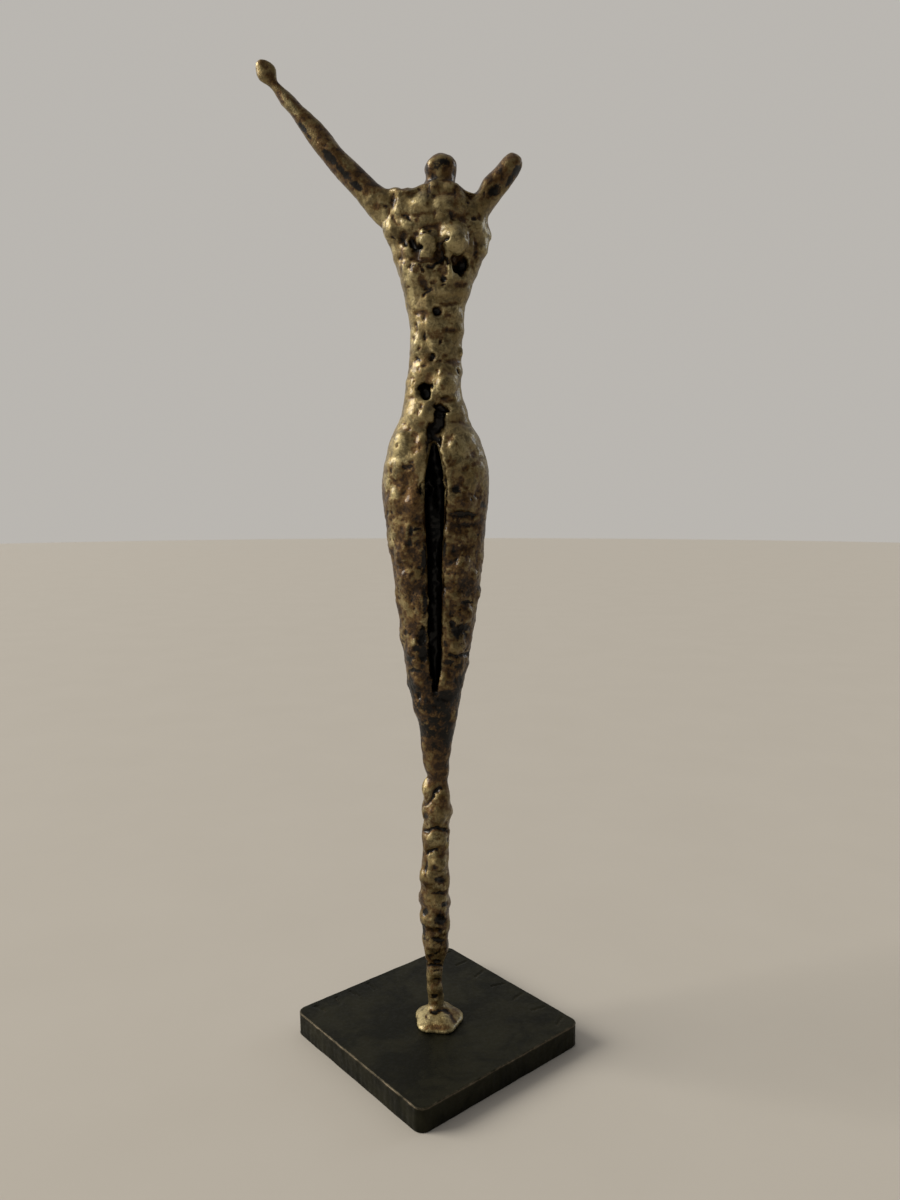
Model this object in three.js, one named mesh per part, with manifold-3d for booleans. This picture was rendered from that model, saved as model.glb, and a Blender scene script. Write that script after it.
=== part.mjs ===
// A small standing figure built up from brazed brass, with raised arms, on a square steel plate.
// Millimetres, +Z up. The origin is the middle of the plate's underside and the figure faces -Y.
import * as THREE from "three";
import { mergeVertices } from "three/addons/utils/BufferGeometryUtils.js";
import Module from "manifold-3d";

const wasm = await Module();
wasm.setup();

// The plate: cut from 70 x 8 flat bar, standing with one corner towards the front.
const PLATE = { side: 70, thick: 8, corner: 3.6, turn: 40.5, cornerSteps: 5 };

// Two rows of stamped strokes along the plate's back edges, in the plate's own axes: places along the
// edge, and how far each stroke leans.
const STAMPS = {
  tall: 5.6,
  thick: 0.8,
  deep: 0.4,
  inset: 5.0,
  right: { from: -30, step: 10.2, leans: [0.4, -0.25, 0.15, -0.35, 0.25, 0, -0.2] },
  left: { from: -28, step: 7.3, leans: [0.2, -0.3, 0.1, -0.15] },
};

// The trunk from the ankle to the shoulders: height, middle, half width, reach to the front and to the
// back, and how far it parts into two legs (0 is one oval, 0.45 is two lobes that just overlap).
const TRUNK = [
  { z: 89.5, x: 1, half: 3.0, front: 3.0, back: 3.0, split: 0 },
  { z: 93, x: 1, half: 3.6, front: 3.6, back: 3.6, split: 0 },
  { z: 97, x: 0.3, half: 4.6, front: 4.5, back: 4.5, split: 0 },
  { z: 104, x: 0.4, half: 5.5, front: 5.3, back: 5.2, split: 0 },
  { z: 111, x: 0.6, half: 6.5, front: 6.0, back: 5.9, split: 0.06 },
  { z: 118, x: 0.4, half: 8.0, front: 6.7, back: 6.6, split: 0.16 },
  { z: 126, x: 0.2, half: 9.7, front: 7.4, back: 7.3, split: 0.28 },
  { z: 137, x: 0.6, half: 11.6, front: 8.0, back: 8.1, split: 0.37 },
  { z: 150, x: 0.8, half: 13.4, front: 8.8, back: 8.9, split: 0.41 },
  { z: 163, x: 0.9, half: 15.1, front: 9.5, back: 9.6, split: 0.42 },
  { z: 176, x: 0.4, half: 16.5, front: 9.9, back: 10.6, split: 0.41 },
  { z: 190, x: 0.3, half: 17.9, front: 9.8, back: 12.4, split: 0.38 },
  { z: 198, x: 0.6, half: 17.0, front: 9.3, back: 11.8, split: 0.3 },
  { z: 205, x: 0, half: 14.8, front: 8.9, back: 10.2, split: 0.16 },
  { z: 212, x: 0, half: 11.4, front: 8.4, back: 8.2, split: 0.04 },
  { z: 220, x: -0.3, half: 9.6, front: 7.7, back: 6.7, split: 0 },
  { z: 231, x: 0.4, half: 8.8, front: 6.8, back: 5.9, split: 0 },
  { z: 241, x: 0.8, half: 9.1, front: 6.7, back: 6.0, split: 0 },
  { z: 249, x: 0.6, half: 10.4, front: 7.4, back: 6.8, split: 0 },
  { z: 256, x: 1.2, half: 12.8, front: 8.2, back: 7.7, split: 0 },
  { z: 263, x: 1.5, half: 15.2, front: 8.4, back: 8.2, split: 0 },
  { z: 270, x: 0.6, half: 17.1, front: 7.8, back: 8.0, split: 0 },
  { z: 276, x: 0, half: 16.6, front: 6.8, back: 7.2, split: 0 },
  { z: 280.6, x: -0.4, half: 14.4, front: 5.0, back: 5.4, split: 0 },
  { z: 282.4, x: -0.4, half: 12.4, front: 2.6, back: 2.8, split: 0 },
];

// The merged lower leg, a stack of drops on a thin rod.
const SHANK = [
  { z: 9, x: -0.4, half: 2.7 },
  { z: 16, x: -0.4, half: 2.7 },
  { z: 26, x: -0.3, half: 3.2 },
  { z: 32, x: -0.3, half: 4.2 },
  { z: 40, x: -0.1, half: 5.0 },
  { z: 60, x: -0.3, half: 5.2 },
  { z: 70, x: 0, half: 4.7 },
  { z: 78, x: 0.3, half: 4.9 },
  { z: 87, x: 0.9, half: 4.5 },
  { z: 92, x: 1.05, half: 3.5 },
  { z: 97, x: 0.6, half: 3.4 },
];

// Limbs as round stations along a line: x, y, z, radius, and how flat the section is front to back.
const LONG_ARM = [
  { x: -8, y: 0, z: 272.5, r: 6.0, flat: 0.9 },
  { x: -17, y: 0.2, z: 278, r: 4.8, flat: 0.95 },
  { x: -22.8, y: 0.4, z: 283.6, r: 3.9, flat: 1 },
  { x: -29.8, y: 0.6, z: 290.8, r: 3.55, flat: 1 },
  { x: -35.3, y: 0.8, z: 297.6, r: 3.45, flat: 1 },
  { x: -41.7, y: 1, z: 305, r: 2.45, flat: 1 },
  { x: -45.2, y: 1.1, z: 309, r: 2.2, flat: 1 },
  { x: -49.4, y: 1.2, z: 313.8, r: 1.45, flat: 1 },
  { x: -51.6, y: 1.2, z: 317, r: 3.15, flat: 0.62 },
  { x: -53.7, y: 1.1, z: 320.3, r: 2.0, flat: 0.62 },
];
const SHORT_ARM = [
  { x: 8, y: 0, z: 272, r: 6.0, flat: 0.9 },
  { x: 14.4, y: 0, z: 277.8, r: 4.7, flat: 0.95 },
  { x: 18, y: -0.2, z: 281.9, r: 3.85, flat: 1 },
  { x: 21.2, y: -0.4, z: 285.5, r: 3.6, flat: 1 },
  { x: 24, y: -0.6, z: 288.9, r: 3.45, flat: 1 },
  { x: 25.9, y: -0.7, z: 291.3, r: 2.4, flat: 1 },
];
const HEAD = [
  { x: 1.6, y: 0.4, z: 277, r: 7.4, flat: 0.75 },
  { x: 1.8, y: 0.3, z: 281.6, r: 6.2, flat: 0.8 },
  { x: 2.4, y: 0.1, z: 284.8, r: 4.4, flat: 0.95 },
  { x: 2.4, y: 0, z: 287.0, r: 4.7, flat: 0.98 },
  { x: 2.2, y: -0.1, z: 289, r: 5.0, flat: 0.98 },
  { x: 1.9, y: -0.1, z: 290.8, r: 4.1, flat: 0.98 },
  { x: 1.7, y: -0.1, z: 292.1, r: 2.3, flat: 0.98 },
];

// How far a limb's end rises past its last station, as a share of that station's radius.
const LIMB_DOME = 0.45;

// A limb's unevenness: two and three lobes round its section, as shares of its radius, each turned a
// little further at every step along the limb.
const UNEVEN = { two: 0.05, twoTurn: 1.1, three: 0.04, threeTurn: -0.7 };

// The slot between the legs: its half width down its height, how far back its floor lies, and how far
// ahead of the figure its blade starts.
const SLOT = {
  x: 0.1,
  floor: 2.6,
  ahead: 30,
  edge: [
    [204, 0.5],
    [200, 1.8],
    [191, 3.2],
    [179, 3.1],
    [167, 2.5],
    [152, 2.4],
    [137, 2.1],
    [128, 1.4],
    [122.5, 0.4],
  ],
};

// Brass drops laid in rows round the trunk and shank: the heights that a field covers, the step
// between rows, the step between drops, their radius, their rise, and how much rise varies.
const DROP_FIELDS = [
  { from: 258, to: 279, row: 5.6, step: 6.4, radius: 4.0, rise: 1.1, vary: 0.9 },
  { from: 219, to: 254, row: 6.8, step: 8.2, radius: 5.2, rise: 0.75, vary: 0.9 },
  { from: 186, to: 212, row: 8.4, step: 9.6, radius: 7.4, rise: 0.65, vary: 0.8 },
  { from: 119, to: 176, row: 7.1, step: 7.6, radius: 4.9, rise: 1.05, vary: 0.7 },
  { from: 98, to: 114, row: 5.4, step: 6.4, radius: 3.6, rise: 0.6, vary: 0.8 },
  { from: 35, to: 89, row: 7.6, step: 8.0, radius: 4.4, rise: 1.35, vary: 0.5 },
  { from: 15, to: 31, row: 4.4, step: 5.0, radius: 2.6, rise: 0.75, vary: 0.9 },
];
// Drop fields that start above this height lie on the trunk, and the others on the shank.
const KNEE_SEAM = 95;
// The stations above give the outline over the drops, so the bare form lies this far inside them.
const BARE_INSET = 0.55;

// Single lumps and hollows of the front that stand out, at the place where the front view shows them.
const LUMPS = [
  { name: "left breast", x: -3.0, z: 264.4, radius: 4.4, rise: 3.2 },
  { name: "right breast", x: 6.9, z: 265.8, radius: 4.7, rise: 3.4 },
  { name: "collar, left", x: -6.5, z: 276, radius: 5, rise: 1.2 },
  { name: "collar, right", x: 5.5, z: 274.5, radius: 5, rise: 1.4 },
  { name: "rib under the left breast", x: -5.2, z: 256.2, radius: 3.2, rise: 1.6 },
  { name: "rib under the right breast", x: 4.4, z: 256.6, radius: 2.8, rise: 1.8 },
  { name: "upper belly", x: 2.2, z: 239, radius: 4.4, rise: 1.0 },
  { name: "belly", x: 3.6, z: 221.8, radius: 4.4, rise: 2.2 },
  { name: "left hip", x: -9.5, z: 198, radius: 9, rise: 1.2 },
  { name: "right hip", x: 10.5, z: 197, radius: 9, rise: 1.4 },
  { name: "hem of the left hip", x: -8.5, z: 184.5, radius: 5.5, rise: 1.5 },
  { name: "hem of the right hip", x: 9.5, z: 187, radius: 5.5, rise: 1.7 },
  { name: "right thigh", x: 9.5, z: 163, radius: 5, rise: 1.6 },
  { name: "right knee", x: 8.2, z: 143.5, radius: 4.4, rise: 2.0 },
  { name: "left knee", x: -5.8, z: 140, radius: 3.6, rise: 1.4 },
];
const HOLLOWS = [
  { name: "under the right breast", x: 8.2, z: 259.4, radius: 3.2, depth: 3.6 },
  { name: "between the breasts", x: 2.1, z: 260.6, radius: 2.6, depth: 2.6 },
  { name: "beside the left breast", x: -6.8, z: 266, radius: 2.6, depth: 2.4 },
  { name: "navel", x: -3.4, z: 219.6, radius: 2.8, depth: 3.4 },
  { name: "under the belly", x: 2.4, z: 214.2, radius: 3.2, depth: 2.4 },
  { name: "above the slot", x: 0.4, z: 208, radius: 3.2, depth: 2.4 },
];

// The brass puddle round the foot.
const PUDDLE = {
  x: 0.9,
  y: -2.4,
  halfWide: 8.2,
  halfDeep: 9.2,
  lobes: 5,
  lobeShare: 0.07,
  lobeTurn: 0.8,
  profile: [
    [0, 1],
    [0.7, 1.02],
    [1.6, 0.92],
    [2.6, 0.72],
    [3.5, 0.46],
  ],
  top: 3.9,
  around: 30,
};

// How fine the skins are: level rings closer together above the hips, and more points round the front.
const GRID = {
  trunkAround: 38,
  fineFrom: 206,
  fineStep: 1.95,
  coarseStep: 2.95,
  frontShare: 0.35,
  shankAround: 16,
  shankStep: 2.0,
  limbAround: 14,
  limbStep: 2.5,
};

const BRASS = { color: 0x7d7048, roughness: 0.42, metalness: 0.85 };
const BLACK_STEEL = { color: 0x24251f, roughness: 0.55, metalness: 0.6 };

// A number from 0 to 1 that looks random and is the same for the same seed.
function chance(seed) {
  const s = Math.sin(seed * 127.1 + 311.7) * 43758.5453;
  return s - Math.floor(s);
}

// A smooth curve through the stations' values of key, at place v of the stations' own measure by.
function along(stations, by, key, v) {
  const last = stations.length - 1;
  const at = THREE.MathUtils.clamp(v, stations[0][by], stations[last][by]);
  let i = 0;
  while (i < last - 1 && stations[i + 1][by] < at) i += 1;
  const slope = (j) => {
    const a = stations[Math.max(j - 1, 0)];
    const b = stations[Math.min(j + 1, last)];
    return (b[key] - a[key]) / (b[by] - a[by]);
  };
  const a = stations[i];
  const b = stations[i + 1];
  const span = b[by] - a[by];
  const t = (at - a[by]) / span;
  const t2 = t * t;
  const t3 = t2 * t;
  const ends = a[key] * (2 * t3 - 3 * t2 + 1) + b[key] * (3 * t2 - 2 * t3);
  return ends + span * (slope(i) * (t3 - 2 * t2 + t) + slope(i + 1) * (t3 - t2));
}

// How far the bare trunk reaches from its middle line at height z, towards an angle about +Z.
function trunkReach(z, angle) {
  const half = along(TRUNK, "z", "half", z) - BARE_INSET;
  const side = Math.sin(angle) < 0 ? "front" : "back";
  const depth = along(TRUNK, "z", side, z) - BARE_INSET;
  const lobe = Math.max(along(TRUNK, "z", "split", z), 0) * half;
  const wide = half - lobe;
  const cos = Math.abs(Math.cos(angle));
  const sin = Math.sin(angle);
  const a = (cos / wide) ** 2 + (sin / depth) ** 2;
  const b = (cos * lobe) / wide ** 2;
  const c = (lobe / wide) ** 2 - 1;
  return (b + Math.sqrt(b * b - a * c)) / a;
}

const shankReach = (z) => along(SHANK, "z", "half", z) - BARE_INSET;

const trunkForm = { stations: TRUNK, reach: trunkReach };
const shankForm = { stations: SHANK, reach: shankReach };

// A ball whose outermost point stands rise above a form's bare surface, at height z, towards an angle.
function ballOn(form, z, angle, radius, rise) {
  const out = form.reach(z, angle) + rise - radius;
  const middle = along(form.stations, "z", "x", z);
  return { x: middle + out * Math.cos(angle), y: out * Math.sin(angle), z, radius };
}

// The angle about a form's middle line at which its front stands at x, at height z.
function frontAngle(form, x, z) {
  const middle = along(form.stations, "z", "x", z);
  let angle = -Math.PI / 2;
  for (let pass = 0; pass < 6; pass += 1) {
    const cos = THREE.MathUtils.clamp((x - middle) / form.reach(z, angle), -0.95, 0.95);
    angle = -Math.acos(cos);
  }
  return angle;
}

// The drops of one field, row by row, each row turned a little from the one below.
function dropsOf(field, form, seed) {
  const drops = [];
  const rows = Math.round((field.to - field.from) / field.row);
  for (let row = 0; row <= rows; row += 1) {
    const z = field.from + row * field.row;
    const girth = 2 * Math.PI * form.reach(z, 0);
    const count = Math.max(3, Math.round(girth / field.step));
    for (let i = 0; i < count; i += 1) {
      const key = seed + row * 31 + i;
      const angle = ((i + 0.5 * (row % 2) + 0.5 * chance(key)) / count) * 2 * Math.PI;
      const rise = field.rise * (1 - field.vary * chance(key + 0.5));
      const up = (chance(key + 0.25) - 0.5) * 0.5 * field.row;
      drops.push(ballOn(form, z + up, angle, field.radius * (0.8 + 0.4 * chance(key + 0.75)), rise));
    }
  }
  return drops;
}

// A form's reach with its drops: the furthest of the bare surface and of each ball the ray meets.
function reachWithDrops(form, drops, z, angle) {
  const middle = along(form.stations, "z", "x", z);
  const cos = Math.cos(angle);
  const sin = Math.sin(angle);
  let far = form.reach(z, angle);
  for (const ball of drops) {
    const dx = ball.x - middle;
    const rise = ball.z - z;
    const ahead = dx * cos + ball.y * sin;
    const left = ball.radius ** 2 - rise ** 2 - (dx * sin - ball.y * cos) ** 2;
    if (left > 0 && ahead > 0) far = Math.max(far, ahead + Math.sqrt(left));
  }
  return far;
}

// A solid as a manifold, from points and triangles that share them.
function solid(points, faces) {
  return new wasm.Manifold(
    new wasm.Mesh({
      numProp: 3,
      vertProperties: new Float32Array(points.flat()),
      triVerts: new Uint32Array(faces.flat()),
    }),
  );
}

// Rings of points, first to last, joined into a closed skin with a point at each end.
function skin(rings, first, last) {
  const around = rings[0].length;
  const points = [first, ...rings.flat(), last];
  const at = (ring, i) => 1 + ring * around + (i % around);
  const faces = [];
  for (let i = 0; i < around; i += 1) {
    faces.push([0, at(0, i + 1), at(0, i)]);
    faces.push([points.length - 1, at(rings.length - 1, i), at(rings.length - 1, i + 1)]);
    for (let ring = 0; ring < rings.length - 1; ring += 1) {
      faces.push([at(ring, i), at(ring, i + 1), at(ring + 1, i + 1)]);
      faces.push([at(ring, i), at(ring + 1, i + 1), at(ring + 1, i)]);
    }
  }
  return solid(points, faces);
}

// The heights of level rings between a form's ends, closer together above GRID.fineFrom.
function levels(form, coarse, fine) {
  const low = form.stations[0].z;
  const high = form.stations[form.stations.length - 1].z;
  const change = THREE.MathUtils.clamp(GRID.fineFrom, low, high);
  const below = Math.round((change - low) / coarse);
  const above = Math.round((high - change) / fine);
  const lower = Array.from({ length: below }, (_, i) => low + ((change - low) * i) / below);
  const rise = (high - change) / Math.max(above, 1);
  const upper = Array.from({ length: above + 1 }, (_, i) => change + rise * i);
  return [...lower, ...upper];
}

// A closed skin whose points stand at reach(z, angle) from the form's middle, closer together in front.
function stack(form, reach, heights, around) {
  const rings = heights.map((z) => {
    const middle = along(form.stations, "z", "x", z);
    return Array.from({ length: around }, (_, i) => {
      const even = (i / around) * 2 * Math.PI;
      const angle = even - GRID.frontShare * Math.cos(even);
      const r = reach(z, angle);
      return [middle + r * Math.cos(angle), r * Math.sin(angle), z];
    });
  });
  const bottom = form.stations[0];
  const top = form.stations[form.stations.length - 1];
  return skin(rings, [bottom.x, 0, bottom.z - 0.6], [top.x, 0, top.z + 0.5]);
}

// A limb: round sections square to a curve through its stations, closed by a dome past the last one.
function limb(stations, phase) {
  const line = new THREE.CatmullRomCurve3(stations.map((s) => new THREE.Vector3(s.x, s.y, s.z)));
  const count = Math.round(line.getLength() / GRID.limbStep);
  const places = stations.map((s, i) => ({ ...s, t: i }));
  const rings = [];
  for (let ring = 0; ring <= count; ring += 1) {
    const t = ring / count;
    const middle = line.getPoint(t);
    const ahead = line.getTangent(t);
    const wide = new THREE.Vector3(0, 1, 0).cross(ahead).normalize();
    const deep = new THREE.Vector3().crossVectors(ahead, wide);
    const r = along(places, "t", "r", t * (places.length - 1));
    const flat = along(places, "t", "flat", t * (places.length - 1));
    rings.push(
      Array.from({ length: GRID.limbAround }, (_, i) => {
        const angle = (i / GRID.limbAround) * 2 * Math.PI;
        const two = UNEVEN.two * Math.sin(2 * angle + ring * UNEVEN.twoTurn + phase);
        const three = UNEVEN.three * Math.sin(3 * angle + ring * UNEVEN.threeTurn);
        const reach = r * (1 + two + three);
        const p = middle.clone();
        p.addScaledVector(wide, reach * Math.cos(angle));
        p.addScaledVector(deep, reach * flat * Math.sin(angle));
        return p.toArray();
      }),
    );
  }
  const tip = stations[stations.length - 1];
  const end = line.getPoint(1).addScaledVector(line.getTangent(1), LIMB_DOME * tip.r);
  return skin(rings, line.getPoint(0).toArray(), end.toArray());
}

function trunk() {
  const fields = DROP_FIELDS.filter((f) => f.from > KNEE_SEAM);
  const drops = fields.flatMap((f, i) => dropsOf(f, trunkForm, 100 * (i + 1)));
  for (const lump of LUMPS) {
    drops.push(ballOn(trunkForm, lump.z, frontAngle(trunkForm, lump.x, lump.z), lump.radius, lump.rise));
  }
  const reach = (z, angle) => {
    const r = reachWithDrops(trunkForm, drops, z, angle);
    if (Math.sin(angle) >= 0) return r;
    const x = along(TRUNK, "z", "x", z) + r * Math.cos(angle);
    const sunk = HOLLOWS.map((h) => {
      const share = ((x - h.x) ** 2 + (z - h.z) ** 2) / h.radius ** 2;
      return share < 1 ? h.depth * (1 - share) : 0;
    });
    return r - Math.max(...sunk);
  };
  return stack(trunkForm, reach, levels(trunkForm, GRID.coarseStep, GRID.fineStep), GRID.trunkAround);
}

function shank() {
  const fields = DROP_FIELDS.filter((f) => f.from < KNEE_SEAM);
  const drops = fields.flatMap((f, i) => dropsOf(f, shankForm, 1100 + 100 * i));
  const reach = (z, angle) => reachWithDrops(shankForm, drops, z, angle);
  return stack(shankForm, reach, levels(shankForm, GRID.shankStep, GRID.shankStep), GRID.shankAround);
}

function puddle() {
  const ring = (rise, share) =>
    Array.from({ length: PUDDLE.around }, (_, i) => {
      const angle = (i / PUDDLE.around) * 2 * Math.PI;
      const lobed = share * (1 + PUDDLE.lobeShare * Math.sin(PUDDLE.lobes * angle + PUDDLE.lobeTurn));
      return [
        PUDDLE.x + PUDDLE.halfWide * lobed * Math.cos(angle),
        PUDDLE.y + PUDDLE.halfDeep * lobed * Math.sin(angle),
        PLATE.thick + rise,
      ];
    });
  const rings = PUDDLE.profile.map(([rise, share]) => ring(rise, share));
  return skin(rings, [PUDDLE.x, PUDDLE.y, PLATE.thick], [PUDDLE.x, PUDDLE.y, PLATE.thick + PUDDLE.top]);
}

// A three.js geometry as a manifold, with its shared corners merged.
function manifoldOf(geometry) {
  const bare = geometry.index ? geometry.toNonIndexed() : geometry.clone();
  bare.deleteAttribute("normal");
  bare.deleteAttribute("uv");
  const merged = mergeVertices(bare, 1e-4);
  return new wasm.Manifold(
    new wasm.Mesh({
      numProp: 3,
      vertProperties: merged.attributes.position.array,
      triVerts: new Uint32Array(merged.index.array),
    }),
  );
}

// The blade that cuts the slot: the slot's outline in the front view, pushed from the front to its floor.
function slotBlade() {
  const right = SLOT.edge.map(([z, half]) => new THREE.Vector2(SLOT.x + half, z));
  const left = SLOT.edge.map(([z, half]) => new THREE.Vector2(SLOT.x - half, z)).reverse();
  const outline = new THREE.Shape();
  outline.moveTo(right[0].x, right[0].y);
  outline.splineThru(right.slice(1));
  outline.lineTo(left[0].x, left[0].y);
  outline.splineThru(left.slice(1));
  const blade = new THREE.ExtrudeGeometry(outline, {
    depth: SLOT.ahead + SLOT.floor,
    bevelEnabled: false,
    curveSegments: 2,
  });
  blade.rotateX(Math.PI / 2);
  blade.translate(0, SLOT.floor, 0);
  return manifoldOf(blade);
}

function figure() {
  const parts = [shank(), limb(LONG_ARM, 0), limb(SHORT_ARM, 2), limb(HEAD, 4), puddle()];
  return parts.reduce((whole, part) => whole.add(part), trunk()).subtract(slotBlade());
}

// The plate's outline: a square with rounded corners, about the origin.
function plateOutline() {
  const h = PLATE.side / 2;
  const r = PLATE.corner;
  const outline = new THREE.Shape();
  outline.moveTo(h, -h + r);
  outline.lineTo(h, h - r);
  outline.absarc(h - r, h - r, r, 0, Math.PI / 2);
  outline.lineTo(-h + r, h);
  outline.absarc(-h + r, h - r, r, Math.PI / 2, Math.PI);
  outline.lineTo(-h, -h + r);
  outline.absarc(-h + r, -h + r, r, Math.PI, 1.5 * Math.PI);
  outline.lineTo(h - r, -h);
  outline.absarc(h - r, -h + r, r, 1.5 * Math.PI, 2 * Math.PI);
  return outline;
}

// One straight stamped stroke, as the block that presses it into the plate's top.
function stroke(x, y, turn) {
  const block = new THREE.BoxGeometry(STAMPS.thick, STAMPS.tall, 2 * STAMPS.deep);
  block.rotateZ(turn);
  block.translate(x, y, PLATE.thick);
  return manifoldOf(block);
}

function basePlate() {
  const body = new THREE.ExtrudeGeometry(plateOutline(), {
    depth: PLATE.thick,
    bevelEnabled: false,
    curveSegments: PLATE.cornerSteps,
  });
  const line = PLATE.side / 2 - STAMPS.inset;
  const { right, left } = STAMPS;
  const strokes = [
    ...right.leans.map((lean, i) => stroke(line, right.from + i * right.step, Math.PI / 2 + lean)),
    ...left.leans.map((lean, i) => stroke(left.from + i * left.step, line, lean)),
  ];
  return strokes.reduce((plate, pressed) => plate.subtract(pressed), manifoldOf(body));
}

// A manifold as a named three.js mesh with its own material.
function meshOf(name, made, look) {
  const { numProp, vertProperties, triVerts } = made.getMesh();
  const points = new Float32Array((vertProperties.length / numProp) * 3);
  for (let i = 0; i < points.length / 3; i += 1) {
    points.set(vertProperties.subarray(i * numProp, i * numProp + 3), i * 3);
  }
  const geometry = new THREE.BufferGeometry();
  geometry.setAttribute("position", new THREE.BufferAttribute(points, 3));
  geometry.setIndex(new THREE.BufferAttribute(triVerts, 1));
  geometry.computeVertexNormals();
  const mesh = new THREE.Mesh(geometry, new THREE.MeshStandardMaterial(look));
  mesh.name = name;
  return mesh;
}

const statue = new THREE.Group();
statue.add(meshOf("figure", figure(), BRASS));
const plateMesh = meshOf("base_plate", basePlate(), BLACK_STEEL);
plateMesh.rotation.z = THREE.MathUtils.degToRad(PLATE.turn);
statue.add(plateMesh);

export default statue;
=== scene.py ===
import bmesh
import bpy
import numpy as np
from mathutils import Matrix, Vector
from mathutils.bvhtree import BVHTree


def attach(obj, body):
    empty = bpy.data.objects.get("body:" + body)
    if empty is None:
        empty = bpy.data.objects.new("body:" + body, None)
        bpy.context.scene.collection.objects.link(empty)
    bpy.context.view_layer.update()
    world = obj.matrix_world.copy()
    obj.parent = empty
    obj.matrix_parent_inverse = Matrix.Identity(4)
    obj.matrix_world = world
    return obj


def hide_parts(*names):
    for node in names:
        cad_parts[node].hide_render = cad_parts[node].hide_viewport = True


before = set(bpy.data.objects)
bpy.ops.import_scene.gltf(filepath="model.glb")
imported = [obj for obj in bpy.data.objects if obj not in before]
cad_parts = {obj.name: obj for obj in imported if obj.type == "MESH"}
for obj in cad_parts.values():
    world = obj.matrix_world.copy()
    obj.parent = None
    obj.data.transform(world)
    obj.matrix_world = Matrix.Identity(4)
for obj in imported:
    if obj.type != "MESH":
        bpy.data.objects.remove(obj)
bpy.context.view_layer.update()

MM = 0.001
random = np.random.default_rng(11)

# The camera, as the photograph was taken: place, axes and lens.
CAMERA = {
    "at": (0.004951, -0.294555, 0.186069),
    "right": (0.99999922, -0.00013894, -0.00123798),
    "up": (0.00124575, 0.11152804, 0.99376051),
    "ahead": (0.0, 0.99376128, -0.11152813),
    "lens": 27.05,
}

# The skins' fineness: the voxel of the bare form, and of the form with its drops. The second is as
# fine as it can be with less than 200,000 triangles.
BARE_VOXEL = 0.7
FINE_VOXEL = 0.53

# How far the bare form is swollen, so that it comes out at the solid's outline once it is smooth.
SWOLLEN = 0.12

# How much flatter the scattered drops lie on the flanks, which are smoother than the front.
FLANK_EASE = 0.8

# Drops scattered over the figure, part by part. Each part is a range of heights, and limb is 0 on the
# body, 1 on the long arm, 2 on the short arm and 3 on the head. Then the gap between drops, their half
# width, half height and rise, each from its least to its most, and the step of the level rows that
# they keep to, where they keep to rows.
DROPS = [
    {"low": 12, "high": 33, "limb": 0, "gap": 2.8, "wide": (1.0, 1.7), "tall": (0.8, 1.3), "rise": (0.05, 0.3)},
    {"low": 34, "high": 51, "limb": 0, "gap": 3.3, "wide": (1.4, 2.6), "tall": (1.2, 2.1), "rise": (0.15, 0.55)},
    {"low": 51, "high": 91, "limb": 0, "gap": 5.4, "wide": (2.4, 4.0), "tall": (2.8, 4.6), "rise": (0.2, 0.7)},
    {"low": 92, "high": 121, "limb": 0, "gap": 3.6, "wide": (1.4, 2.7), "tall": (1.3, 2.6), "rise": (0.0, 0.25)},
    {"low": 121, "high": 178, "limb": 0, "gap": 4.6, "wide": (1.8, 3.6), "tall": (1.5, 2.8), "rise": (0.0, 0.25)},
    {"low": 178, "high": 212, "limb": 0, "gap": 6.5, "wide": (2.0, 4.5), "tall": (2.0, 4.5), "rise": (0.0, 0.2)},
    {"low": 212, "high": 254, "limb": 0, "gap": 5.4, "wide": (2.8, 4.8), "tall": (2.4, 3.6), "rise": (0.0, 0.2),
     "row": 9.0, "from": 223.8},
    {"low": 254, "high": 283, "limb": 0, "gap": 5.2, "wide": (1.8, 3.2), "tall": (2.0, 3.6), "rise": (0.0, 0.2)},
    {"low": 276, "high": 316, "limb": 1, "gap": 5.0, "wide": (0.9, 1.5), "tall": (1.0, 1.7), "rise": (0.0, 0.1)},
    {"low": 278, "high": 292, "limb": 2, "gap": 5.0, "wide": (1.2, 1.9), "tall": (1.3, 2.1), "rise": (0.0, 0.12)},
    {"low": 280, "high": 294, "limb": 3, "gap": 5.0, "wide": (1.4, 2.4), "tall": (1.4, 2.6), "rise": (0.0, 0.1)},
]

# Lumps, marks and grooves of the front are placed by where the camera sees them, in pixels of the
# photograph's frame of 900 by 1200. Their sizes, rises and depths are in millimetres, and a lean turns
# a shape anticlockwise, in degrees. First the frame's middle and the lens in the same pixels.
FRAME = {"x": 450, "y": 600, "focal": 901.6}
# The most pixels that a millimetre of the figure takes, where it is nearest to the camera.
MOST_PIXELS_PER_MM = 3.5

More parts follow.
